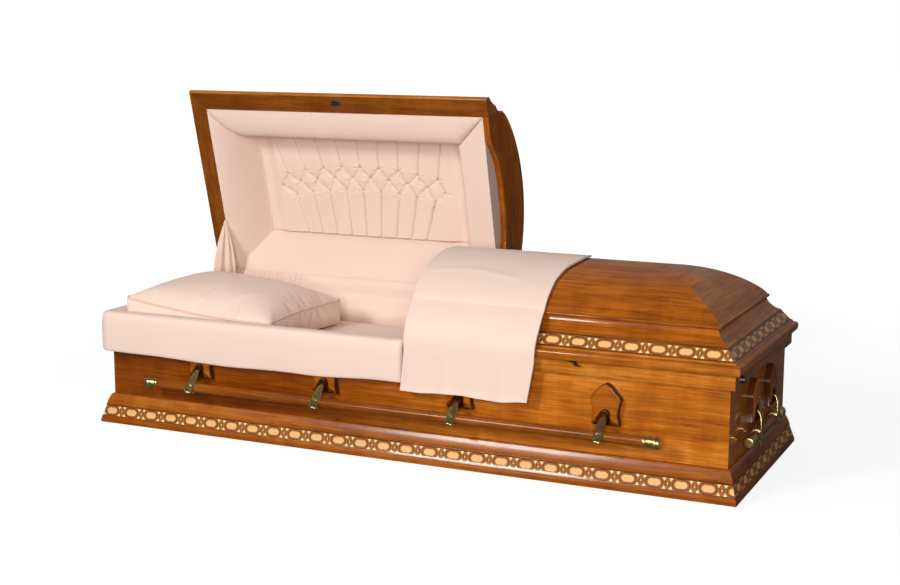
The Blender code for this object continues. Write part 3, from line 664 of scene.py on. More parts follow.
# %% Base moulding and top rail
base_runs = [
    ("wood", 1, [(0.0345, 0.0), (0.0345, 0.0075)]),
    ("wood", 4, [(0.0345, 0.0075), (0.0343, 0.0100), (0.0334, 0.0130), (0.0325, 0.0155)]),
    ("wood", 3, [(0.0325, 0.0155), (0.0318, 0.0175), (0.0312, 0.0200), (0.0300, 0.0222)]),
    ("band", 2, [(0.0300, 0.0222), (0.0200, 0.0555)]),
    # this quirk is painted dark, as shade
    ("frame", 2, [(0.0200, 0.0555), (0.0212, 0.0562), (0.0216, 0.0574), (0.0212, 0.0586), (0.0197, 0.0592)]),
    ("wood", 4, [(0.0197, 0.0592), (0.0190, 0.0640), (0.0166, 0.0712), (0.0132, 0.0800), (0.0100, 0.0868)]),
    ("wood", 4, [(0.0100, 0.0868), (0.0080, 0.0905), (0.0050, 0.0933), (0.0003, 0.0945)]),
    ("wood", 1, [(0.0003, 0.0945), (0.0003, 0.0)]),
]
rail_runs = [
    ("wood", 1, [(-0.0308, 0.318), (0.0139, 0.318)]),
    ("wood", 3, [(0.0139, 0.318), (0.0154, 0.3186), (0.0164, 0.3205)]),
    ("wood", 1, [(0.0164, 0.3205), (0.0164, 0.3560)]),
    ("wood", 3, [(0.0164, 0.3560), (0.0157, 0.3580), (0.0134, 0.3590)]),
    ("wood", 1, [(0.0134, 0.3590), (-0.0308, 0.3590)]),
]
base_looks = [base_x, base_y, base_inlay_x, base_inlay_y, frame_and_shade_x, frame_and_shade_y]
base_moulding = moulding("base_moulding_carved", base_runs, all_round, base_looks, "shell", "base_moulding")
top_rail = moulding("top_rail_board", rail_runs, all_round, [lit_shaded_moulding_x, shaded_moulding_y], "shell", "top_rail")
print("base moulding faces", len(base_moulding.data.polygons), "rail", len(top_rail.data.polygons))

# %% [markdown]
# Side boards are plain and flat, so the frame's own solids stay. They get a fine bevel and the wood.

# %% Side boards


def dress(node, material, width):
    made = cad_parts[node]
    made.data.materials.clear()
    made.data.materials.append(material)
    bevel(made, width)


BOARDS = {"side_panel_front": front_x, "side_panel_back": wood_x, "bottom_board": wood_x,
          "end_panel_head": wood_y, "end_panel_foot": wood_y}
for node, look in BOARDS.items():
    dress(node, look, 0.0008)
print("boards", list(BOARDS))

# %% [markdown]
# Each lid is a rim moulding with its own inlaid band, a cove, a lip and a domed crown that hips at the end. The
# cut end has a header board whose lower edge is arched.

# %% Lids
# The flat face under the rim is dark, partly painted shade; the quirks beside the band are painted dark as shade.
rim_runs = [
    ("frame", 1, [(-0.0308, 0.3598), (0.0258, 0.3598)]),
    ("wood", 3, [(0.0258, 0.3598), (0.0285, 0.3608), (0.0305, 0.3640), (0.0316, 0.3700), (0.0318, 0.3765),
                 (0.0309, 0.3812), (0.0285, 0.3846), (0.0238, 0.3872), (0.0184, 0.3892)]),
    ("wood", 2, [(0.0184, 0.3892), (0.0172, 0.3912), (0.0160, 0.3936), (0.0134, 0.3953)]),
    ("frame", 2, [(0.0134, 0.3953), (0.0112, 0.3960), (0.0098, 0.3972), (0.0090, 0.3985)]),
    ("band", 2, [(0.0090, 0.3985), (-0.0115, 0.4245)]),
    ("frame", 2, [(-0.0115, 0.4245), (-0.0117, 0.4262), (-0.0132, 0.4276), (-0.0155, 0.4300)]),
    ("wood", 1, [(-0.0155, 0.4300), (-0.0308, 0.4300)]),
]
LIP = (-0.0505, 0.4822)
DOME_RISE, DOME_POWER = 0.112, 1.64


def dome(foot, rise, steps):
    """The crown's (outset, height) from its foot to the ridge."""
    half = BODY_Y + foot[0]
    turn = [math.pi / 2 * i / steps for i in range(steps + 1)]
    return [(half * math.cos(a) - BODY_Y, foot[1] + rise * math.sin(a) ** DOME_POWER) for a in turn]


inner_dome = dome((-0.0685, 0.4702), 0.108, 12)
crown_runs = [
    ("wood", 1, list(reversed(inner_dome)) + [(-0.0308, 0.4303)]),
    ("wood", 1, [(-0.0308, 0.4303), (-0.0155, 0.4303)]),
    ("wood", 3, [(-0.0155, 0.4303), (-0.0235, 0.4340), (-0.0320, 0.4400), (-0.0410, 0.4495), (-0.0472, 0.4575),
                 (-0.0502, 0.4640), (-0.0522, 0.4717)]),
    ("wood", 2, [(-0.0522, 0.4717), (-0.0474, 0.4721), (-0.0454, 0.4740), (-0.0449, 0.4766), (-0.0455, 0.4796),
                 (-0.0478, 0.4816), (-0.0503, 0.4820)]),
    ("wood", 1, dome(LIP, DOME_RISE, 30)),
]
HEADER_THICKNESS = 0.020
GAP = 0.0003  # between two pieces that touch
HEADER_SIDE = [(BODY_Y - 0.0311, 0.4300), (BODY_Y - 0.0311, 0.3601)]
HEADER_ARCH = [(0.230, 0.3601), (0.1472, 0.4054), (0.0690, 0.4225), (0.0, 0.4258)]


def header_rings(lid):
    """The header's outline of (y, z) at its two faces: along the dome's inside, down a side, and the arch."""
    skin = [(BODY_Y + out - GAP, up - GAP) for out, up in reversed(inner_dome)]
    skin[0] = (0.0, skin[0][1])
    half = skin + HEADER_SIDE + [tuple(p) for p in curve_through(HEADER_ARCH, 7)]
    outline = half + [(-y, z) for y, z in reversed(half[1:-1])]
    near = PARTING[lid]
    return [[(x, y, z) for y, z in outline] for x in (near, near + END[lid] * HEADER_THICKNESS)]


def build_lid_wood(lid):
    place, corners = PLACE[lid], three_sides(lid)
    looks = [lit_shaded_moulding_x, shaded_moulding_y, lid_inlay_x, lid_inlay_y, frame_and_shade_x, frame_and_shade_y]
    rim = moulding(f"{lid}_rim_moulding", rim_runs, corners, looks, lid, f"{lid}_rim", False, place=place)
    crown = moulding(
        f"{lid}_domed_crown", crown_runs, corners, [crown_x, crown_y], lid, f"{lid}_crown", False, False, turned=place
    )
    header = piece(
        f"{lid}_header_board", *loft(header_rings(lid)), [header_y], lid, "header_wood", f"{lid}_header", turned=place
    )
    bevel(header, 0.0012)
    return rim, crown, header


for lid in ("head_lid", "foot_lid"):
    print(lid, [len(made.data.polygons) for made in build_lid_wood(lid)], "faces")

# %% [markdown]
# Each arm hangs in the notch of a carved wooden plate. The plate is a pointed shield: a smooth outline, thick,
# with its front edge rounded over in rings that step inward along a quarter circle.

# %% Handle plates
PIN_OUT, PIN_HEIGHT = 0.013, 0.200
PLATE_THICKNESS, PLATE_ROUND, PLATE_INSET = 0.022, 0.0085, 0.0066
PLATE_FOOT = -0.018
NOTCH_HALF, NOTCH_RISE = 0.0095, 0.0150
PLATE_SIDES = [  # steps between points, and the right half's outline of (x, z) about the pin
    (5, [(0, 0.104), (0.0145, 0.0968), (0.0285, 0.0832), (0.0415, 0.0680), (0.046, 0.056)]),
    (5, [(0.046, 0.056), (0.0428, 0.0430), (0.0385, 0.027), (0.0380, 0.0080), (0.0430, PLATE_FOOT)]),
    (3, [(0.0430, PLATE_FOOT), (0.0300, -0.0184), (NOTCH_HALF, PLATE_FOOT)]),
    (3, [(NOTCH_HALF, PLATE_FOOT), (NOTCH_HALF, 0.0), (NOTCH_HALF, NOTCH_RISE)]),
]


def stepped_in(outline, inset):
    """A clockwise outline moved inward, with its corners mitred."""
    found = []
    for i, p in enumerate(outline):
        edges = [p - outline[i - 1], outline[(i + 1) % len(outline)] - p]
        normals = [np.array((e[1], -e[0])) / np.linalg.norm(e) for e in edges]
        middle = normals[0] + normals[1]
        found.append(p + inset * middle / max(0.5, middle @ middle / 2))
    return found


def plate_mesh():
    half = [np.array((0.0, 0.104))]
    for steps, line in PLATE_SIDES:
        half += curve_through(line, steps)[1:]
    quarter = [math.pi / 2 * i / 6 for i in range(1, 7)]
    half += [np.array((NOTCH_HALF * math.cos(a), NOTCH_RISE + NOTCH_HALF * math.sin(a))) for a in quarter]
    outline = half + [np.array((-x, z)) for x, z in reversed(half[1:-1])]
    back = PIN_OUT - GAP
    levels = [(0.0, back), (0.0, PLATE_ROUND - PLATE_THICKNESS + back)]
    levels += [(PLATE_INSET * (1 - math.cos(a)), PLATE_ROUND * (1 - math.sin(a)) - PLATE_THICKNESS + back)
               for a in quarter]
    rings = [[(x, y, z) for x, z in stepped_in(outline, inset)] for inset, y in levels]
    return mesh_of("handle_plate", *loft(rings), [plate_wood], sharp=math.radians(40), weld=0)


plate = plate_mesh()
print("plate faces", len(plate.polygons))

# %% [markdown]
# The arm is a cast leaf: narrow where it hooks over its pin, widest beside the bar and pointed below it. Its
# section is a flattened ring of points carried along a bent centre line, with a ridge down its face. A collar
# behind it holds the bar.

# %% Handle arms
BAR_OUT, BAR_DROP, BAR_RADIUS = 0.010, 0.064, 0.015
ARM_LINE = [  # out, up, half width, half thickness
    (0.0000, -0.0035, 0.0044, 0.0014),
    (0.0010, 0.0045, 0.0050, 0.0022),
    (0.0075, 0.0085, 0.0052, 0.0028),
    (0.0145, 0.0055, 0.0056, 0.0030),
    (0.0190, -0.0040, 0.0064, 0.0032),
    (0.0225, -0.0150, 0.0092, 0.0035),
    (0.0240, -0.0350, 0.0126, 0.0036),
    (0.0245, -0.0550, 0.0148, 0.0036),
    (0.0245, -0.0720, 0.0152, 0.0037),
    (0.0245, -0.0860, 0.0138, 0.0041),
    (0.0245, -0.0912, 0.0129, 0.0046),
    (0.0242, -0.0942, 0.0122, 0.0036),
    (0.0240, -0.0950, 0.0112, 0.0014),
]
PIN_LINE = [(-0.0138, 0.0024), (-0.0134, 0.003), (0.0134, 0.003), (0.0138, 0.0024)]
EYE_LINE = [(-0.0052, 0.0050), (-0.0046, 0.0062), (0.0046, 0.0062), (0.0052, 0.0050)]
COLLAR_HALF, COLLAR_EDGE = 0.009, 0.0012


def leaf_section(half_width, half_thickness):
    found = []
    for across, deep in circle(20):
        ridge = 1.0 + 0.22 * max(0.0, deep) * (1 - abs(across)) ** 1.5
        found.append((half_width * across, half_thickness * math.copysign(abs(deep) ** 0.8, deep) * ridge))
    return found


def arm_mesh():
    line = curve_through(ARM_LINE, 4)
    rings = []
    for i, (out, up, half_width, half_thickness) in enumerate(line):
        before, after = line[max(i - 1, 0)], line[min(i + 1, len(line) - 1)]
        run = Vector((after[0] - before[0], after[1] - before[1])).normalized()
        normal = Vector((-run.y, run.x))
        section = leaf_section(half_width, half_thickness)
        rings.append([(x, -(out + normal.x * t), up + normal.y * t) for x, t in section])
    inner, outer = BAR_RADIUS + 0.0004, BAR_RADIUS + 0.0042
    shoulder, flat = outer - COLLAR_EDGE, COLLAR_HALF - COLLAR_EDGE
    collar_line = [(-COLLAR_HALF, inner), (-COLLAR_HALF, shoulder), (-flat, outer), (flat, outer),
                   (COLLAR_HALF, shoulder), (COLLAR_HALF, inner), (-COLLAR_HALF, inner)]
    collar = lathe(collar_line, 36, (0, -BAR_OUT, -BAR_DROP), "open")
    points, faces = joined([loft(rings), collar, lathe(PIN_LINE, 16), lathe(EYE_LINE, 24)])
    return mesh_of("handle_arm", points, faces, [antique_brass], sharp=math.radians(50), weld=FINE_WELD)


arm = arm_mesh()
print("arm faces", len(arm.polygons))

# %% [markdown]
# The bars are turned wood rods. Each end has a brass cap with a raised ring near its tip.

# %% Bars and caps
CAP_LENGTH = 0.050
CAP_OVERLAP = 0.0050
HANDLES = {  # turn about Z, half size of the body there, arm places, half bar length, swing at rest
    "front": (0.0, BODY_Y, (-0.680, -0.227, 0.227, 0.680), 0.858, math.radians(45)),
    "back": (math.pi, BODY_Y, (-0.680, -0.227, 0.227, 0.680), 0.858, math.radians(45)),
    "head": (-math.pi / 2, BODY_X, (-0.105, 0.105), 0.205, 0.0),
    "foot": (math.pi / 2, BODY_X, (-0.105, 0.105), 0.205, 0.0),
}


def cap_mesh():
    inner, outer = BAR_RADIUS + 0.0003, BAR_RADIUS + 0.0019
    ring = outer + 0.0012
    line = [(0.0, inner), (0.0002, outer - 0.0003), (0.0008, outer), (0.0060, outer), (0.0066, outer - 0.0004),
            (0.0074, outer), (0.0280, outer), (0.0292, outer + 0.0002), (0.0304, ring), (0.0366, ring),
            (0.0378, outer + 0.0002), (0.0390, outer - 0.0002), (0.0455, outer), (0.0484, outer - 0.0012),
            (0.0498, outer - 0.0040), (0.0500, outer - 0.0075), (0.0500, 0.0004)]
    hollow = [(0.0460, 0.0004), (0.0460, inner), (0.0, inner)]
    points, faces = lathe(line + hollow, 40, ends="open")
    return mesh_of("bar_cap", points, faces, [antique_brass], sharp=math.radians(45), weld=FINE_WELD)


cap = cap_mesh()


def build_handle(word, turn, reach, places, half_bar, swing):
    side = Matrix.Rotation(turn, 4, "Z")
    pins = side @ Matrix.Translation((0, -(reach + PIN_OUT), PIN_HEIGHT))
    pivot = pins @ Matrix.Rotation(-swing, 4, "X")
    body = f"{word}_handle"
    for number, x in enumerate(places, 1):
        beside = Matrix.Translation((x, 0, 0))
        shown(f"{word}_shield_{number}", plate, "shell", f"{word}_plate_{number}", pins @ beside)
        shown(f"{word}_leaf_arm_{number}", arm, body, f"{word}_arm_{number}", pivot @ beside)
    axis = pivot @ Matrix.Translation((0, -BAR_OUT, -BAR_DROP))
    end, edge = half_bar - CAP_OVERLAP, 0.001
    line = [(-end, BAR_RADIUS - edge), (-end + edge, BAR_RADIUS), (end - edge, BAR_RADIUS), (end, BAR_RADIUS - edge)]
    piece(f"{word}_turned_bar", *lathe(line, 48), [bar_wood], body, "handle_wood", f"{word}_bar", place=axis)
    for number, way in ((1, -1), (2, 1)):
        flip = Matrix.Rotation(0 if way > 0 else math.pi, 4, "Z")
        at = axis @ Matrix.Translation((way * (half_bar - CAP_LENGTH), 0, 0)) @ flip
        shown(f"{word}_bar_cap_{number}", cap, body, f"{word}_cap_{number}", at)


for word, facts in HANDLES.items():
    build_handle(word, *facts)
print("handles", list(HANDLES))

# %% [markdown]
# The long hinges at the back keep the frame's solids. The lock's oval plate, the crank's socket and the small
# catch under the foot lid are dark metal, and are turned or built with rounded edges.

# %% Small fittings
LOCK_PLACE = HEAD_PLACE @ Matrix.Translation((-0.4758, -0.340, 0.3586))
LOCK_RINGS = [  # growth of the oval, depth
    (0.0, 0.0020), (0.0, 0.0006), (-0.0006, 0.0001), (-0.0016, 0.0), (-0.0060, 0.0), (-0.0068, 0.0008),
    (-0.0085, 0.0010),
]
SCREW_RINGS = [(0.0022, 0.0004), (0.0022, -0.0002), (0.0014, -0.0007), (0.0002, -0.0008)]  # radius, depth
SOCKET_LINE = [(-0.006, 0.0118), (-0.0045, 0.0120), (-0.0030, 0.0116), (-0.0026, 0.0092), (0.0040, 0.0090),
               (0.0052, 0.0084), (0.0060, 0.0070), (0.0060, 0.0050), (-0.0010, 0.0048), (-0.0012, 0.0004)]
CATCH_PLACE = Matrix.Translation((0.588, -0.3600, 0.3590))
CATCH_LINE = [(-0.026, 0.001), (-0.012, 0.0005), (-0.002, -0.0015), (0.001, -0.0075), (0.0065, -0.0120),
              (0.0140, -0.0105)]


def oval_plate():
    rings = []
    for grow, deep in LOCK_RINGS:
        a, b = 0.0225 + grow, 0.0105 + grow * 0.85
        rings.append([(a * c, b * s, deep) for c, s in circle(40)])
    screws = [loft([[(x + radius * c, radius * s, deep) for c, s in circle(14)] for radius, deep in SCREW_RINGS])
              for x in (-0.0175, 0.0175)]
    return joined([loft(rings), *screws])


def catch_hook():
    """A little hook that hangs below the foot lid's rim."""
    line = curve_through(CATCH_LINE, 4)
    rings = []
    for i, (x, z) in enumerate(line):
        size = 0.0046 + 0.0030 * math.sin(math.pi * min(1.0, 1.25 * i / len(line)))
        rings.append([(x + size * 0.8 * c, size * 1.5 * s, z) for c, s in circle(14)])
    return loft(rings)


for node in ("head_lid_hinge", "foot_lid_hinge"):
    dress(node, antique_brass, 0.0004)
lock = piece("lock_oval_plate", *oval_plate(), [dark_metal], "head_lid", "dark_metal", "lock_plate", place=LOCK_PLACE)
low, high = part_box("crank_fitting")
socket_place = Matrix.Translation((low + high) / 2)
socket = piece(
    "crank_socket", *lathe(SOCKET_LINE, 36), [dark_metal], "shell", "dark_metal", "crank_fitting", place=socket_place
)
catch = piece("foot_lid_catch", *catch_hook(), [dark_metal], "foot_lid", "dark_metal", place=CATCH_PLACE)
print("small fittings", lock.name, socket.name, catch.name)

# %% [markdown]
# Cloth pieces are grids of points. A padded one is a surface with a closed back, and a sheet has two layers that
# are joined round its edge. They shade smoothly, and their points lie too close to be welded as wood is.

# %% Cloth helpers
CLOTH_WELD = 1e-7


def cloth_piece(name, points, faces, body, node=None, place=None, sharp=80, material=peach_cloth):
    return piece(
        name, points, faces, [material], body, "cloth", node, place=place, sharp=math.radians(sharp), weld=CLOTH_WELD
    )


def smoothstep(t):
    t = np.clip(t, 0, 1)
    return t * t * (3 - 2 * t)


def segment_distance(x, y, a, b):
    """Distance of every point to a segment."""
    ax, ay = a
    dx, dy = b[0] - ax, b[1] - ay
    t = np.clip(((x - ax) * dx + (y - ay) * dy) / (dx * dx + dy * dy), 0, 1)
    return np.hypot(x - ax - t * dx, y - ay - t * dy)


def wander(x, y, scale, seed):
    """Slow smooth noise over a grid, about -1 to 1."""
    flat = [noise.noise(Vector((a * scale, b * scale, seed))) for a, b in zip(x.ravel(), y.ravel())]
    return np.array(flat).reshape(x.shape) * 2


def grid_faces(rows, columns, wrap=False):
    faces = []
    for r in range(rows - 1):
        for c in range(columns if wrap else columns - 1):
            d = (c + 1) % columns
            faces.append((r * columns + c, r * columns + d, (r + 1) * columns + d, (r + 1) * columns + c))
    return faces


def edge_loop(rows, columns):
    """Point numbers once round a grid."""
    first, last = list(range(columns)), [(rows - 1) * columns + c for c in range(columns)]
    left, right = [r * columns for r in range(rows)], [r * columns + columns - 1 for r in range(rows)]
    return first + right[1:] + last[::-1][1:] + left[::-1][1:-1]


def bridge(ring, other):
    """Faces between two rings of point numbers."""
    return [(a, b, d, c) for a, b, c, d in zip(ring, ring[1:] + ring[:1], other, other[1:] + other[:1])]


def two_layers(rows, columns):
    """Faces of two grids of points, one behind the other, joined round their edge."""
    front, count, loop = grid_faces(rows, columns), rows * columns, edge_loop(rows, columns)
    return front + [[count + k for k in face] for face in front] + bridge(loop, [count + k for k in loop])


# %% [markdown]
# The head lid's lining is one padded surface stretched over board. It is made as a height over the lid's
# opening: four side panels rise from the rim to the flat cap panel, each with its own profile. The front panel
# is a puffed roll that hides its own seam, and a groove follows each mitre. Tufts pull the cap panel in along
# three arcs, with pleats sewn from the outer arcs to the panel's edges. The foot lid has the same, untufted.

# %% Linings of the lids
LINING_X, LINING_Y = (-0.9992, 0.0580), (-0.3062, 0.3062)
FOOT_LINING_X = (BODY_X - 0.0313, 0.1030)
RIM_LEVEL, CAP_LEVEL, BACK_LEVEL = 0.3618, 0.4960, 0.3918
PANEL_WIDTHS = (0.112, 0.150, 0.111)  # head end, parting end, hinge side
TUFT_ROWS = {  # count, middle x, pitch, y in the middle, rise of the arc to its ends
    "front_edge": (9, -0.495, 0.0840, -0.205, 0.0),
    "upper": (9, -0.487, 0.0743, -0.066, 0.034),
    "middle": (10, -0.4885, 0.0714, -0.026, 0.041),
    "lower": (9, -0.4835, 0.0686, 0.018, 0.030),
    "hinge_edge": (9, -0.4955, 0.0589, 0.197, 0.0),
}
ROLL_EDGE = -0.200  # where the front roll's nose stands
ROLL_LINE = [(0.0, 0.3628), (0.25, 0.3606), (0.50, 0.3618), (0.72, 0.3664), (0.87, 0.3742), (0.95, 0.3830),
             (1.0, 0.3960)]


def tuft_row(word):
    count, middle, pitch, level, rise = TUFT_ROWS[word]
    half = (count - 1) / 2
    shares = [(i - half) / half for i in range(count)]
    return [(middle + share * pitch * half, level + rise * share * share) for share in shares]


def tuft_seams():
    rows = {word: tuft_row(word) for word in TUFT_ROWS}
    seams = []
    for a, b in (("front_edge", "upper"), ("lower", "hinge_edge")):
        seams += [(p, q, "pleat") for p, q in zip(rows[a], rows[b])]
    middle = rows["middle"]
    for side in ("upper", "lower"):
        for i, p in enumerate(rows[side]):
            seams += [(p, middle[i], "diamond"), (p, middle[i + 1], "diamond")]
    return seams, rows["upper"] + middle + rows["lower"]


def roll_seam(x):
    """y of the seam that ends the front roll: curved into the corner at the head end, mitred at the other."""
    head = np.clip((-0.860 - x) / 0.1395, 0, 1)
    other = np.clip((x + 0.0430) / 0.1010, 0, 1)
    return ROLL_EDGE - 0.1000 * head**2.4 - 0.1040 * other


def side_panel_heights(x, y):
    """Share of the way in, and height over the rim's level, of the head, parting and hinge side panels."""
    head, parting, hinge = PANEL_WIDTHS
    shares = [(x - LINING_X[0]) / head, (LINING_X[1] - x) / parting, (LINING_Y[1] - y) / hinge]
    head_in, parting_in, hinge_in = (np.clip(s, 0, 1) for s in shares)
    rise = CAP_LEVEL - RIM_LEVEL
    head_h = rise * (0.45 * head_in + 0.55 * head_in**1.7) - 0.009 * np.sin(np.pi * head_in) ** 0.8
    hinge_h = rise * (0.80 * hinge_in + 0.20 * hinge_in**2) - 0.011 * np.sin(np.pi * hinge_in) ** 0.8
    s = parting_in
    parting_h = 0.020 * s - 0.004 * np.sin(np.pi * s) + (rise - 0.020) * smoothstep((s - 0.62) / 0.42)
    return np.array(shares), (head_h, parting_h, hinge_h), rise


def tuft_relief(x, y):
    """How far the tufted part stands out from the cap: thin sewn lines, soft swells and buttons' creases."""
    seams, tufts = tuft_seams()
    nearest = {"pleat": np.full(x.shape, 1.0), "diamond": np.full(x.shape, 1.0)}
    fold = np.zeros(x.shape)
    for a, b, kind in seams:
        apart = segment_distance(x, y, a, b)
        nearest[kind] = np.minimum(nearest[kind], apart)
        if kind == "pleat":
            side = (x - a[0]) * (b[1] - a[1]) - (y - a[1]) * (b[0] - a[0])
            fold = np.maximum(fold, np.exp(-((apart / 0.0115) ** 1.4)) * (side > 0))
    lines = 1 - np.exp(-((nearest["pleat"] / 0.0024) ** 1.5))
    crease = 1 - np.exp(-((nearest["diamond"] / 0.0050) ** 1.3))
    swell = 1 - np.exp(-((np.minimum(nearest["pleat"], nearest["diamond"]) / 0.014) ** 1.2))
    first, last = tuft_row("middle")[0][0], tuft_row("middle")[-1][0]
    spread = smoothstep((x - first + 0.055) / 0.05) * smoothstep((last + 0.055 - x) / 0.05)
    relief = -(0.0062 * lines + 0.0022 * crease + 0.0056 * swell + 0.0062 * fold * lines) * spread
    for n, (tx, ty) in enumerate(tufts):
        away = np.hypot(x - tx, y - ty)
        angle = np.arctan2(y - ty, x - tx)
        creases = np.cos(6 * angle + n * 1.7) + 0.6 * np.cos(9 * angle + n)
        creases = creases * np.exp(-(((away - 0.012) / 0.011) ** 2))
        relief = relief + 0.0085 * np.exp(-((away / 0.0048) ** 2)) + 0.0015 * creases
    return relief


def panel_heights(x, y, tufted):
    """Height over the rim's level of the side panels and the cap, with grooves where they meet."""
    shares, heights, rise = side_panel_heights(x, y)
    nearest, second = np.argsort(shares, axis=0)[:2]
    share = np.take_along_axis(shares, nearest[None], 0)[0]
    gap = np.take_along_axis(shares, second[None], 0)[0] - share
    mix = smoothstep(gap / 0.03) * 0.5 + 0.5
    height = np.choose(nearest, heights) * mix + np.choose(second, heights) * (1 - mix)
    groove = 0.0032 * np.exp(-((gap / 0.012) ** 2)) * (share < 1)
    edge = 0.0024 * np.exp(-(((share - 1.0) / 0.016) ** 2)) * (nearest != 1)
    height = np.where(share < 1.0, height, rise) + groove + edge
    if tufted:
        height = height + smoothstep((share - 0.99) / 0.06) * tuft_relief(x, y)
    return height + 0.0014 * wander(x, y, 7.0, 1.0) * np.clip(share * 3, 0, 1)


def roll_heights(x, y):
    """Height over the rim's level of the front roll, with a fold at its mitred end."""
    width = roll_seam(x) - LINING_Y[0]
    t = np.clip((y - LINING_Y[0]) / np.maximum(width, 1e-4), 0, 1)
    smooth = np.array(curve_through(ROLL_LINE, 8))
    full = np.interp(t, smooth[:, 0], smooth[:, 1]) - RIM_LEVEL
    roll = full * np.clip(width / (ROLL_EDGE - LINING_Y[0]), 0.05, 1) ** 0.7
    roll = roll + 0.0006 * wander(x, y, 11.0, 2.0)
    return roll + 0.0020 * np.exp(-(((1 - t) * width / 0.004) ** 2)) * (x > -0.045)


def crowded(low, high, start, end, inner, outer):
    """Grid lines from low to high: inner of them between start and end, outer of them elsewhere."""
    before = max(2, round(outer * (start - low) / (start - low + high - end)))
    after = max(2, outer - before)
    parts = [np.linspace(low, start, before + 1)[:-1], np.linspace(start, end, inner + 1)[:-1]]
    return np.concatenate([*parts, np.linspace(end, high, after + 1)])


def build_lid_lining(lid, columns, rows, tufted):
    """columns and rows are the grid's fine part, where the tufts are."""
    x_lines = crowded(*LINING_X, -0.870, -0.110, columns, 64)
    cap_rows = crowded(ROLL_EDGE, LINING_Y[1], ROLL_EDGE + 0.003, 0.2000, rows, 22)
    cap_rows = (cap_rows - ROLL_EDGE) / (LINING_Y[1] - ROLL_EDGE)
    roll_rows = np.sin(np.linspace(0, math.pi / 2, 22))
    seam = roll_seam(x_lines)[None]
    front = LINING_Y[0] + (seam - LINING_Y[0]) * roll_rows[:, None]
    behind = seam + (LINING_Y[1] - seam) * cap_rows[:, None]
    y = np.concatenate([front, behind[1:]])
    x = np.broadcast_to(x_lines, y.shape)
    in_roll = np.broadcast_to(np.arange(len(y))[:, None] < len(roll_rows), y.shape)
    z = RIM_LEVEL + np.where(in_roll, roll_heights(x, y), panel_heights(x, y, tufted))
    if lid == "foot_lid":
        start, end = FOOT_LINING_X
        x = start + (end - start) * (x - LINING_X[0]) / (LINING_X[1] - LINING_X[0])
    points = np.stack([x.ravel(), y.ravel(), z.ravel()], 1)
    loop = edge_loop(*x.shape)
    back = points[loop]
    back[:, 2] = BACK_LEVEL
    faces = grid_faces(*x.shape) + bridge(loop, list(range(len(points), len(points) + len(loop))))
    points = np.concatenate([points, back]).tolist()
    made = cloth_piece(f"{lid}_padded_lining", points, faces, lid, f"{lid}_lining", PLACE[lid])
    return made


head_lining = build_lid_lining("head_lid", 330, 175, True)
foot_lining = build_lid_lining("foot_lid", 90, 60, False)
print("lining faces", len(head_lining.data.polygons), len(foot_lining.data.polygons))

# %% [markdown]
# Under the arch of each lid's cut end a cloth-covered board closes the lining. It stands just behind the
# header, so a pale strip of it shows between the arch and the lining's edge.

# %% Cloth wall behind the header
END_CLOTH_X = {"head_lid": LINING_X[1] - 0.0015, "foot_lid": 0.1040}
END_CLOTH_HALF, END_CLOTH_FOOT, END_CLOTH_HEIGHT = 0.3020, 0.3632, 0.0700


def build_header_cloth(lid, rows=6, columns=90):
    points = []
    for layer in (0.0, 0.0025 * END[lid]):
        for r in range(rows):
            up = END_CLOTH_FOOT + END_CLOTH_HEIGHT * r / (rows - 1)
            for y in np.linspace(-END_CLOTH_HALF, END_CLOTH_HALF, columns).tolist():
                points.append((END_CLOTH_X[lid] + layer + 0.0004 * math.sin(y * 70 + r), y, up))
    made = cloth_piece(f"{lid}_end_cloth", points, two_layers(rows, columns), lid, place=PLACE[lid], sharp=32)
    return made


print("end cloths", [build_header_cloth(lid).name for lid in ("head_lid", "foot_lid")])

# %% [markdown]
# Inside the body a padded lining runs round the opening: down from the rail's inner edge to the mattress. At
# the back a gathered strip goes on over the hinge to the open lid's inner edge. Its small pleats show near the
# head end.

# %% Lining of the body
INNER_X, INNER_Y, INNER_ROUND = 0.9990, 0.3062, 0.030
WALL_LINE = [  # how far in, height
    (0.0000, 0.3560), (0.0030, 0.3500), (0.0105, 0.3360), (0.0165, 0.3150), (0.0175, 0.2950), (0.0130, 0.2750),
    (0.0080, 0.2550), (0.0060, 0.2300), (0.0060, 0.1900), (0.0060, 0.1640),
]
WALL_BACK = -0.0042


def wall_route():
    """Points round the rail's inner edge, with rounded corners, anticlockwise from above."""
    x, y = INNER_X - INNER_ROUND, INNER_Y - INNER_ROUND
    found = []
    for cx, cy, start in ((x, y, 0), (-x, y, 90), (-x, -y, 180), (x, -y, 270)):
        turn = [math.radians(start + 15 * i) for i in range(7)]
        found += [(cx + INNER_ROUND * math.cos(a), cy + INNER_ROUND * math.sin(a)) for a in turn]
    return found


def resampled(line, spacing):
    line = [Vector(p) for p in line + line[:1]]
    found = []
    for a, b in zip(line, line[1:]):
        steps = max(1, round((b - a).length / spacing))
        found += [a.lerp(b, k / steps) for k in range(steps)]
    return found


def build_body_lining():
    route, profile = resampled(wall_route(), 0.009), curve_through(WALL_LINE, 3)
    rows, count = len(profile), len(route)
    points = []
    for front in (True, False):
        for inward, up in profile:
            for i, p in enumerate(route):
                run = (route[(i + 1) % count] - route[i - 1]).normalized()
                gather = 0.0014 * math.sin(i * 1.9 + 1.5 * math.sin(i * 0.31)) * max(0.0, (up - 0.27) / 0.09)
                at = p + Vector((-run.y, run.x)) * (inward + gather if front else WALL_BACK)
                points.append((at.x, at.y, up))
    faces, total = grid_faces(rows, count, wrap=True), rows * count
    faces += [[total + k for k in face] for face in faces]
    for row in (0, rows - 1):
        ring = list(range(row * count, (row + 1) * count))
        faces += bridge(ring, [total + k for k in ring])
    made = cloth_piece("body_padded_lining", points, faces, "shell", "lining_tray")
    return made


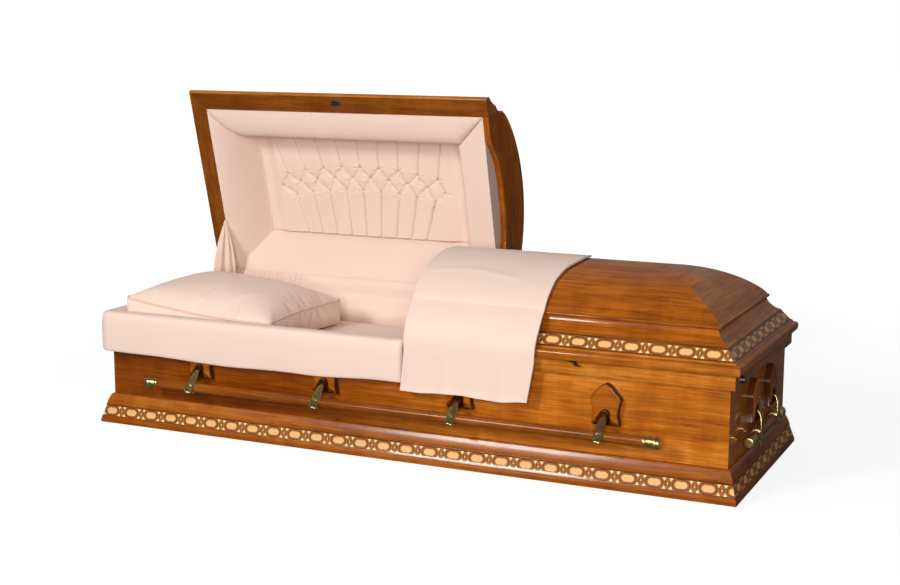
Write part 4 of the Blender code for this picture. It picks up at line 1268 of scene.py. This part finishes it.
def build_hinge_cloth():
    """Gathered strip from the back rail up to the open lid's inner edge."""
    _, lid_y, lid_z = HEAD_PLACE @ Vector((0, 0.3030, 0.3590))
    section = curve_through(
        [(0.2935, 0.3300), (0.2965, 0.3500), (0.3035, 0.3660), (0.3170, 0.3790), (0.3310, 0.3930),
         (lid_y - 0.0045, lid_z)], 4)
    xs = np.linspace(-0.990, 0.050, 300)
    points = []
    for layer in (0.0, 0.0016):
        for row, (y, z) in enumerate(section):
            share = row / (len(section) - 1)
            for x in xs:
                size = (0.0006 + 0.0034 * share**1.5) * (0.06 + 0.94 * float(smoothstep((-0.640 - x) / 0.09)))
                gather = size * math.sin(x * 340 + 1.3 * math.sin(x * 47)) + 0.0010 * math.sin(x * 31) * share
                points.append((x, y + layer + gather * 0.75, z - gather * 0.5 + layer * 0.3))
    made = cloth_piece("hinge_gathered_cloth", points, two_layers(len(section), len(xs)), None)
    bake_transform(made)
    return made


body_lining = build_body_lining()
hinge_cloth = build_hinge_cloth()
print("body lining faces", len(body_lining.data.polygons), "hinge cloth", len(hinge_cloth.data.polygons))

# %% [markdown]
# At the head end a web of cloth closes the wedge between the open lid and the body. It hangs in a few pleats
# between its free edge in front and the lid's edge, and widens and narrows again on the way down.

# %% Gusset at the head end


def build_gusset(rows=34):
    """Each row runs from the free edge over the pleats to a fold that stands inward, and back to the lid's edge."""
    points = []
    for layer in (0.0, 0.0016):
        for i in range(rows):
            down = i / (rows - 1)
            full = math.sin(math.pi * min(1.0, down * 0.62))
            free = np.array((-0.9990 - 0.004 * full, 0.2925 - 0.0840 * down - 0.0165 * math.sin(math.pi * down),
                             0.6000 - 0.2250 * down))
            fold = np.array((-0.9960 + 0.037 * full, 0.2935 - 0.0080 * full + 0.012 * down, 0.5960 - 0.2200 * down))
            reach = 0.250 - 0.222 * down
            edge = np.array((-0.9962, HINGE_Y - reach * math.cos(HEAD_OPEN), HINGE_Z + reach * math.sin(HEAD_OPEN)))
            out = np.array((1.0, -0.45, 0.0)) * 0.0062 * full * (1 + 0.3 * math.sin(down * 7))
            pleats = [(0.0, 0.0), (0.30, 1.0), (0.46, -0.5), (0.70, 0.8), (0.84, -0.4), (1.0, 0.0)]
            line = [free + (fold - free) * share + out * push for share, push in pleats]
            line += [fold + (edge - fold) * 0.30 + np.array((-0.010, 0.004, 0.0)) * full,
                     fold + (edge - fold) * 0.65, edge]
            line = curve_through(line, 6)
            points += [(float(x) + layer, float(y), float(z)) for x, y, z in line]
    made = cloth_piece("head_end_gusset", points, two_layers(rows, len(line)), None)
    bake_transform(made)
    return made


gusset = build_gusset()
print("gusset area", round(sum(face.area for face in gusset.data.polygons) / 2, 4))

# %% [markdown]
# The mattress fills the bottom of the opening. Only its surface beside the pillow shows: a taut cover, a little
# crowned, with rounded edges.

# %% Mattress
MATTRESS_X, MATTRESS_Y = INNER_X - 0.0100, INNER_Y - 0.0080
MATTRESS_LOW, MATTRESS_TOP, MATTRESS_ROUND = 0.1610, 0.2850, 0.030


def build_mattress():
    u, v = np.meshgrid(np.linspace(-1, 1, 150), np.linspace(-1, 1, 60))
    edge = np.maximum(np.abs(u) ** 14, np.abs(v) ** 7)
    x, y = MATTRESS_X * u * (1 - 0.004 * edge), MATTRESS_Y * v * (1 - 0.012 * edge)
    top = MATTRESS_TOP - MATTRESS_ROUND * edge
    top = top + 0.0012 * wander(x, y, 9, 5.0) + 0.0010 * wander(x, y * 3, 14, 7.0)
    low = MATTRESS_LOW + MATTRESS_ROUND * edge
    points = np.concatenate([np.stack([x.ravel(), y.ravel(), z.ravel()], 1) for z in (top, low)]).tolist()
    made = cloth_piece("padded_mattress", points, two_layers(*u.shape), "shell", "mattress", sharp=60)
    return made


mattress = build_mattress()
print("mattress faces", len(mattress.data.polygons))

# %% [markdown]
# The pillow is box-edged: a top and a bottom panel joined by a band, with piping in both seams. It is sewn in
# its rough shape here and then filled: Blender's cloth pressure swells it, which pulls the panels in between the
# corners and wrinkles them at the seams. The seam points are known by number, so the piping can follow them
# afterwards.

# %% Pillow
PILLOW_X, PILLOW_Y = (-0.992, -0.452), (-0.302, 0.150)
PILLOW_STEP = 0.0105
PILLOW_FOOT = 0.2865  # the settled pillow never sinks below this height
BAND_ROWS = 7
FILL_FRAMES = 22
LARGEST_MOVE = 0.045
PIPING_RADIUS = 0.0036


def pillow_point(level, u, v):
    """A point of the lower (0) or upper (1) panel. u runs from the head end, v from the front."""
    x = PILLOW_X[0] + (PILLOW_X[1] - PILLOW_X[0]) * u
    y = PILLOW_Y[0] + (PILLOW_Y[1] - PILLOW_Y[0]) * v
    pull = 0.010 * (math.sin(math.pi * u) * (1 - 2 * v) ** 2 * (1 if v < 0.5 else -1))
    side = 0.010 * math.sin(math.pi * v) * (1 - 2 * u) ** 2 * (1 if u < 0.5 else -1)
    low = 0.295 + 0.060 * (1 - u) ** 1.5
    high = 0.371 + 0.040 * (1 - u) ** 1.3 - 0.016 * math.sin(math.pi * u) ** 0.8 * (1 - v) ** 3
    swell = ((1 - abs(2 * u - 1) ** 2.8) * (1 - abs(2 * v - 1) ** 2.6)) ** 0.62
    return x + side, y + pull, high + 0.044 * swell if level else max(0.290, low - 0.040 * swell)


def pillow_grid():
    """Points, faces and the two seams' point numbers, the lower seam first."""
    nx = round((PILLOW_X[1] - PILLOW_X[0]) / PILLOW_STEP)
    ny = round((PILLOW_Y[1] - PILLOW_Y[0]) / PILLOW_STEP)
    points, index = [], {}

    def add(key, point):
        index[key] = len(points)
        points.append(point)

    for level in (0, 1):
        for i in range(nx + 1):
            for j in range(ny + 1):
                add((level, i, j), pillow_point(level, i / nx, j / ny))
    loop = [(i, 0) for i in range(nx)] + [(nx, j) for j in range(ny)]
    loop += [(i, ny) for i in range(nx, 0, -1)] + [(0, j) for j in range(ny, 0, -1)]
    for r in range(1, BAND_ROWS):
        for i, j in loop:
            a, b = (np.array(points[index[(level, i, j)]]) for level in (0, 1))
            add(("band", r, i, j), tuple(a + (b - a) * r / BAND_ROWS))

    def band(r, i, j):
        return index[{0: (0, i, j), BAND_ROWS: (1, i, j)}.get(r, ("band", r, i, j))]

    faces = []
    for level in (0, 1):
        for i in range(nx):
            for j in range(ny):
                faces.append([index[(level, *k)] for k in ((i, j), (i + 1, j), (i + 1, j + 1), (i, j + 1))])
    for r in range(BAND_ROWS):
        for a, b in zip(loop, loop[1:] + loop[:1]):
            faces.append([band(r, *a), band(r, *b), band(r + 1, *b), band(r + 1, *a)])
    return points, faces, [[band(r, *k) for k in loop] for r in (0, BAND_ROWS)]


def settle_pillow(made, seams):
    """Fills the sewn pillow with cloth pressure, keeps its seams near their place and applies the result."""
    rest = np.array([v.co for v in made.data.vertices])
    pinned = made.vertex_groups.new(name="seams")
    pinned.add([k for seam in seams for k in seam], 0.35, "REPLACE")
    cloth_step = made.modifiers.new("fill", "CLOTH")
    settings = cloth_step.settings
    settings.quality = 6
    settings.mass = 0.3
    settings.tension_stiffness = settings.compression_stiffness = 12
    settings.shear_stiffness = 5
    settings.bending_stiffness = 0.35
    settings.use_pressure = True
    settings.uniform_pressure_force = 3.2
    settings.vertex_group_mass = "seams"
    settings.shrink_min = -0.035
    settings.effector_weights.gravity = 0.0
    cloth_step.collision_settings.use_collision = False
    scene = bpy.context.scene
    for number in range(1, FILL_FRAMES + 1):
        scene.frame_set(number)
    state = made.evaluated_get(bpy.context.evaluated_depsgraph_get())
    move = np.array([v.co for v in state.data.vertices]) - rest
    made.modifiers.remove(cloth_step)
    scene.frame_set(1)
    length = np.linalg.norm(move, axis=1, keepdims=True)
    final = rest + move * np.minimum(1.0, LARGEST_MOVE / np.maximum(length, 1e-9))
    final[:, 2] = np.maximum(final[:, 2], PILLOW_FOOT)
    made.data.vertices.foreach_set("co", final.ravel())
    made.data.update()
    return final


def piping(name, path):
    """A closed ring of cord along a path of points."""
    path = [Vector(p) for p in path]
    rings = []
    for i, p in enumerate(path):
        run = (path[(i + 1) % len(path)] - path[i - 1]).normalized()
        side = run.cross(Vector((0, 0, 1))).normalized()
        up = side.cross(run)
        rings.append([tuple(p + PIPING_RADIUS * (c * side + s * up)) for c, s in circle(10)])
    return cloth_piece(name, *loft(rings, "joined"), None, material=piping_cloth)


def build_pillow():
    points, faces, seams = pillow_grid()
    made = cloth_piece("box_edged_pillow", points, faces, None, sharp=85)
    final = settle_pillow(made, seams)
    cords = []
    for word, seam in zip(("lower", "upper"), seams):
        path = final[seam]
        path = (np.roll(path, 1, 0) + 2 * path + np.roll(path, -1, 0)) / 4
        cords.append(piping(f"pillow_{word}_piping", path))
    step = made.modifiers.new("soften", "SUBSURF")
    step.levels = step.render_levels = 1
    for sewn in (made, *cords):
        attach(sewn, "shell")
        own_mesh(sewn)
    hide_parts("pillow")
    return made


pillow = build_pillow()

# %% [markdown]
# The apron is a padded cover that lies over the front rail, hangs outside over the tops of the handle plates and
# turns round the head corner. Its section is closed, so the padding has thickness, and the hem waves a little.

# %% Apron
APRON_FRONT = 0.0340  # how far its outer face stands out from the body's front
APRON_END = 0.0440
APRON_CORNER_X, APRON_CORNER_Y, APRON_CORNER_ROUND = -(BODY_X + 0.0010), -BODY_Y, 0.012
APRON_RETURN_Y = -0.178
APRON_SHOWN = [  # (outset from the face, height) from the hem up, over the rail and down the inside
    (-0.0100, 0.2405), (-0.0050, 0.2375), (-0.0012, 0.2420), (0.0000, 0.2560), (0.0012, 0.2900),
    (0.0010, 0.3300), (-0.0012, 0.3520), (-0.0060, 0.3650), (-0.0170, 0.3706), (-0.0330, 0.3710),
    (-0.0500, 0.3692), (-0.0620, 0.3655), (-0.0695, 0.3560), (-0.0715, 0.3420), (-0.0705, 0.3260),
]
APRON_HIDDEN = [  # and back along the rail to the hem
    (-0.0655, 0.3250), (-0.0650, 0.3592), (-0.0380, 0.3596), (-0.0117, 0.3594), (-0.0117, 0.3300),
    (-0.0117, 0.2900), (-0.0117, 0.2500),
]


def apron_path():
    """Places and outward directions: from the parting end to the head corner, then back along the head end."""
    x, y, r = APRON_CORNER_X, APRON_CORNER_Y, APRON_CORNER_ROUND
    found = [((float(at), y), (0.0, -1.0)) for at in np.linspace(APRON_END, x + r, 150)]
    for a in np.linspace(0, math.pi / 2, 12)[1:]:
        found.append(((x + r - r * math.sin(a), y), (-math.sin(a), -math.cos(a))))
    return found + [((x, float(at)), (-1.0, 0.0)) for at in np.linspace(y + 0.004, APRON_RETURN_Y, 26)]


def apron_section():
    """The section's (outset, height), and how many of its points belong to the shown side."""
    shown_side = curve_through(APRON_SHOWN, 3)
    line = list(shown_side)
    for a, b in zip(APRON_HIDDEN, APRON_HIDDEN[1:]):
        line += [np.array(a), (np.array(a) + np.array(b)) / 2]
    line.append(np.array(APRON_HIDDEN[-1]))
    return [(out + APRON_FRONT, up) for out, up in line], len(shown_side)


def build_apron():
    path = apron_path()
    section, shown_count = apron_section()
    rings = []
    travelled = 0.0
    for n, ((x, y), (nx, ny)) in enumerate(path):
        if n:
            travelled += math.dist(path[n - 1][0], (x, y))
        near_end = max(0.0, 1 - min(n, len(path) - 1 - n) / 3)
        round_end = 0.0100 * (1 - math.sqrt(max(0.0, 1 - near_end**2)))
        wave = 0.0022 * math.sin(travelled * 8.2 + 0.6) + 0.0014 * math.sin(travelled * 23 + 1.7)
        hem = 0.0055 * math.sin(travelled * 5.1 + 2.0) + 0.0018 * math.sin(travelled * 17)
        ring = []
        for k, (out, up) in enumerate(section):
            free = max(0.0, (0.350 - up) / 0.110)
            if k < shown_count:
                swell = 0.0005 * noise.noise(Vector((travelled * 11, up * 25, 3.0))) - 0.0005
                out = out + wave * free + swell - round_end
            if out > -0.02:
                up = up + free * hem
            ring.append((x + nx * out, y + ny * out, up))
        rings.append(ring)
    made = cloth_piece("padded_apron", *loft(rings), "shell", "apron", sharp=70)
    return made


apron = build_apron()
print("apron faces", len(apron.data.polygons))

# %% [markdown]
# The throw is a lined cloth laid over the foot lid. It follows the dome, leaves it below the lip and hangs
# straight to a hem that waves slightly. Its edges are turned, so they are a little thicker than its middle. It
# reaches a little over the parting.

# %% Throw
THROW_HEM, THROW_FRONT, THROW_BACK = 0.2250, -0.3752, 0.100
THROW_THICKNESS, THROW_TURNED = 0.0030, 0.0016
THROW_SIDES = {  # share of the length from the hem, and x of the edge there
    "left": ([0, 0.17, 0.30, 0.45, 0.60, 0.80, 1.0], [0.046, 0.058, 0.055, 0.044, 0.036, 0.034, 0.034]),
    "right": ([0, 0.17, 0.30, 0.45, 0.60, 0.70, 0.80, 0.93, 1.0],
              [0.450, 0.470, 0.474, 0.468, 0.465, 0.472, 0.488, 0.490, 0.474]),
}


def throw_line():
    """(y, z) of the throw's inner side from the hem in front, up over the dome and past the ridge."""
    skin = [(-(BODY_Y + out), up) for out, up in dome(LIP, DOME_RISE, 24)]
    front = THROW_FRONT
    line = [(front, THROW_HEM), (front, 0.2700), (front, 0.3200), (front + 0.0002, 0.3620), (front + 0.0030, 0.3900),
            (front + 0.0190, 0.4250), (front + 0.0480, 0.4560), (skin[0][0] - 0.0075, skin[0][1] + 0.0010)]
    line = [tuple(p) for p in curve_through(line, 5)][:-1]
    line += [(y - 0.0040, z + 0.0035) for y, z in skin]
    return line + [(-y - 0.0040, z + 0.0035) for y, z in reversed(skin[:-1]) if -y < THROW_BACK]


def even_spacing(line, spacing):
    """Points at even steps along the line, and how far along it they are."""
    line = np.array(line, float)
    lengths = np.concatenate([[0.0], np.cumsum(np.linalg.norm(np.diff(line, axis=0), axis=1))])
    at = np.linspace(0, lengths[-1], round(lengths[-1] / spacing) + 1)
    return np.stack([np.interp(at, lengths, axis) for axis in line.T], 1), at


def build_throw(columns=66):
    line, at = even_spacing(throw_line(), 0.0065)
    total, rows = float(at[-1]), len(line)
    left, right = (np.interp(at / total, *THROW_SIDES[word]) for word in ("left", "right"))
    points = []
    for layer in (0, 1):
        for r in range(rows):
            before, after = line[max(r - 1, 0)], line[min(r + 1, rows - 1)]
            run = (after - before) / np.linalg.norm(after - before)
            normal = np.array((-run[1], run[0]))
            hang = max(0.0, 1 - at[r] / 0.20)
            end = min(at[r], total - at[r])
            for u in (c / (columns - 1) for c in range(columns)):
                x = left[r] + (right[r] - left[r]) * u
                edge = min(u, 1 - u) * (right[r] - left[r])
                turned = THROW_TURNED * math.exp(-((min(edge, end) / 0.012) ** 2))
                wave = hang**1.3 * (0.0040 * math.sin(x * 34 + 0.8) + 0.0022 * math.sin(x * 71 + at[r] * 9))
                crease = 0.0028 * math.exp(-(((at[r] - 0.415 - 0.02 * math.sin(u * 5)) / 0.016) ** 2))
                crease *= math.exp(-(((u - 0.42) / 0.36) ** 4))
                slow = 0.0012 * noise.noise(Vector((x * 12, at[r] * 9, 4.0)))
                y, z = line[r] + normal * (wave + crease + abs(slow) + layer * (THROW_THICKNESS + 2 * turned))
                hem = hang * 0.0035 * math.sin(x * 26 + 2.2) * max(0.0, 1 - at[r] / 0.06)
                points.append((x, y, z + hem))
    made = cloth_piece("peach_throw", points, two_layers(rows, columns), "foot_lid", "throw", sharp=70)
    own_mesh(made)
    return total


print("throw is", round(build_throw(), 3), "m long")
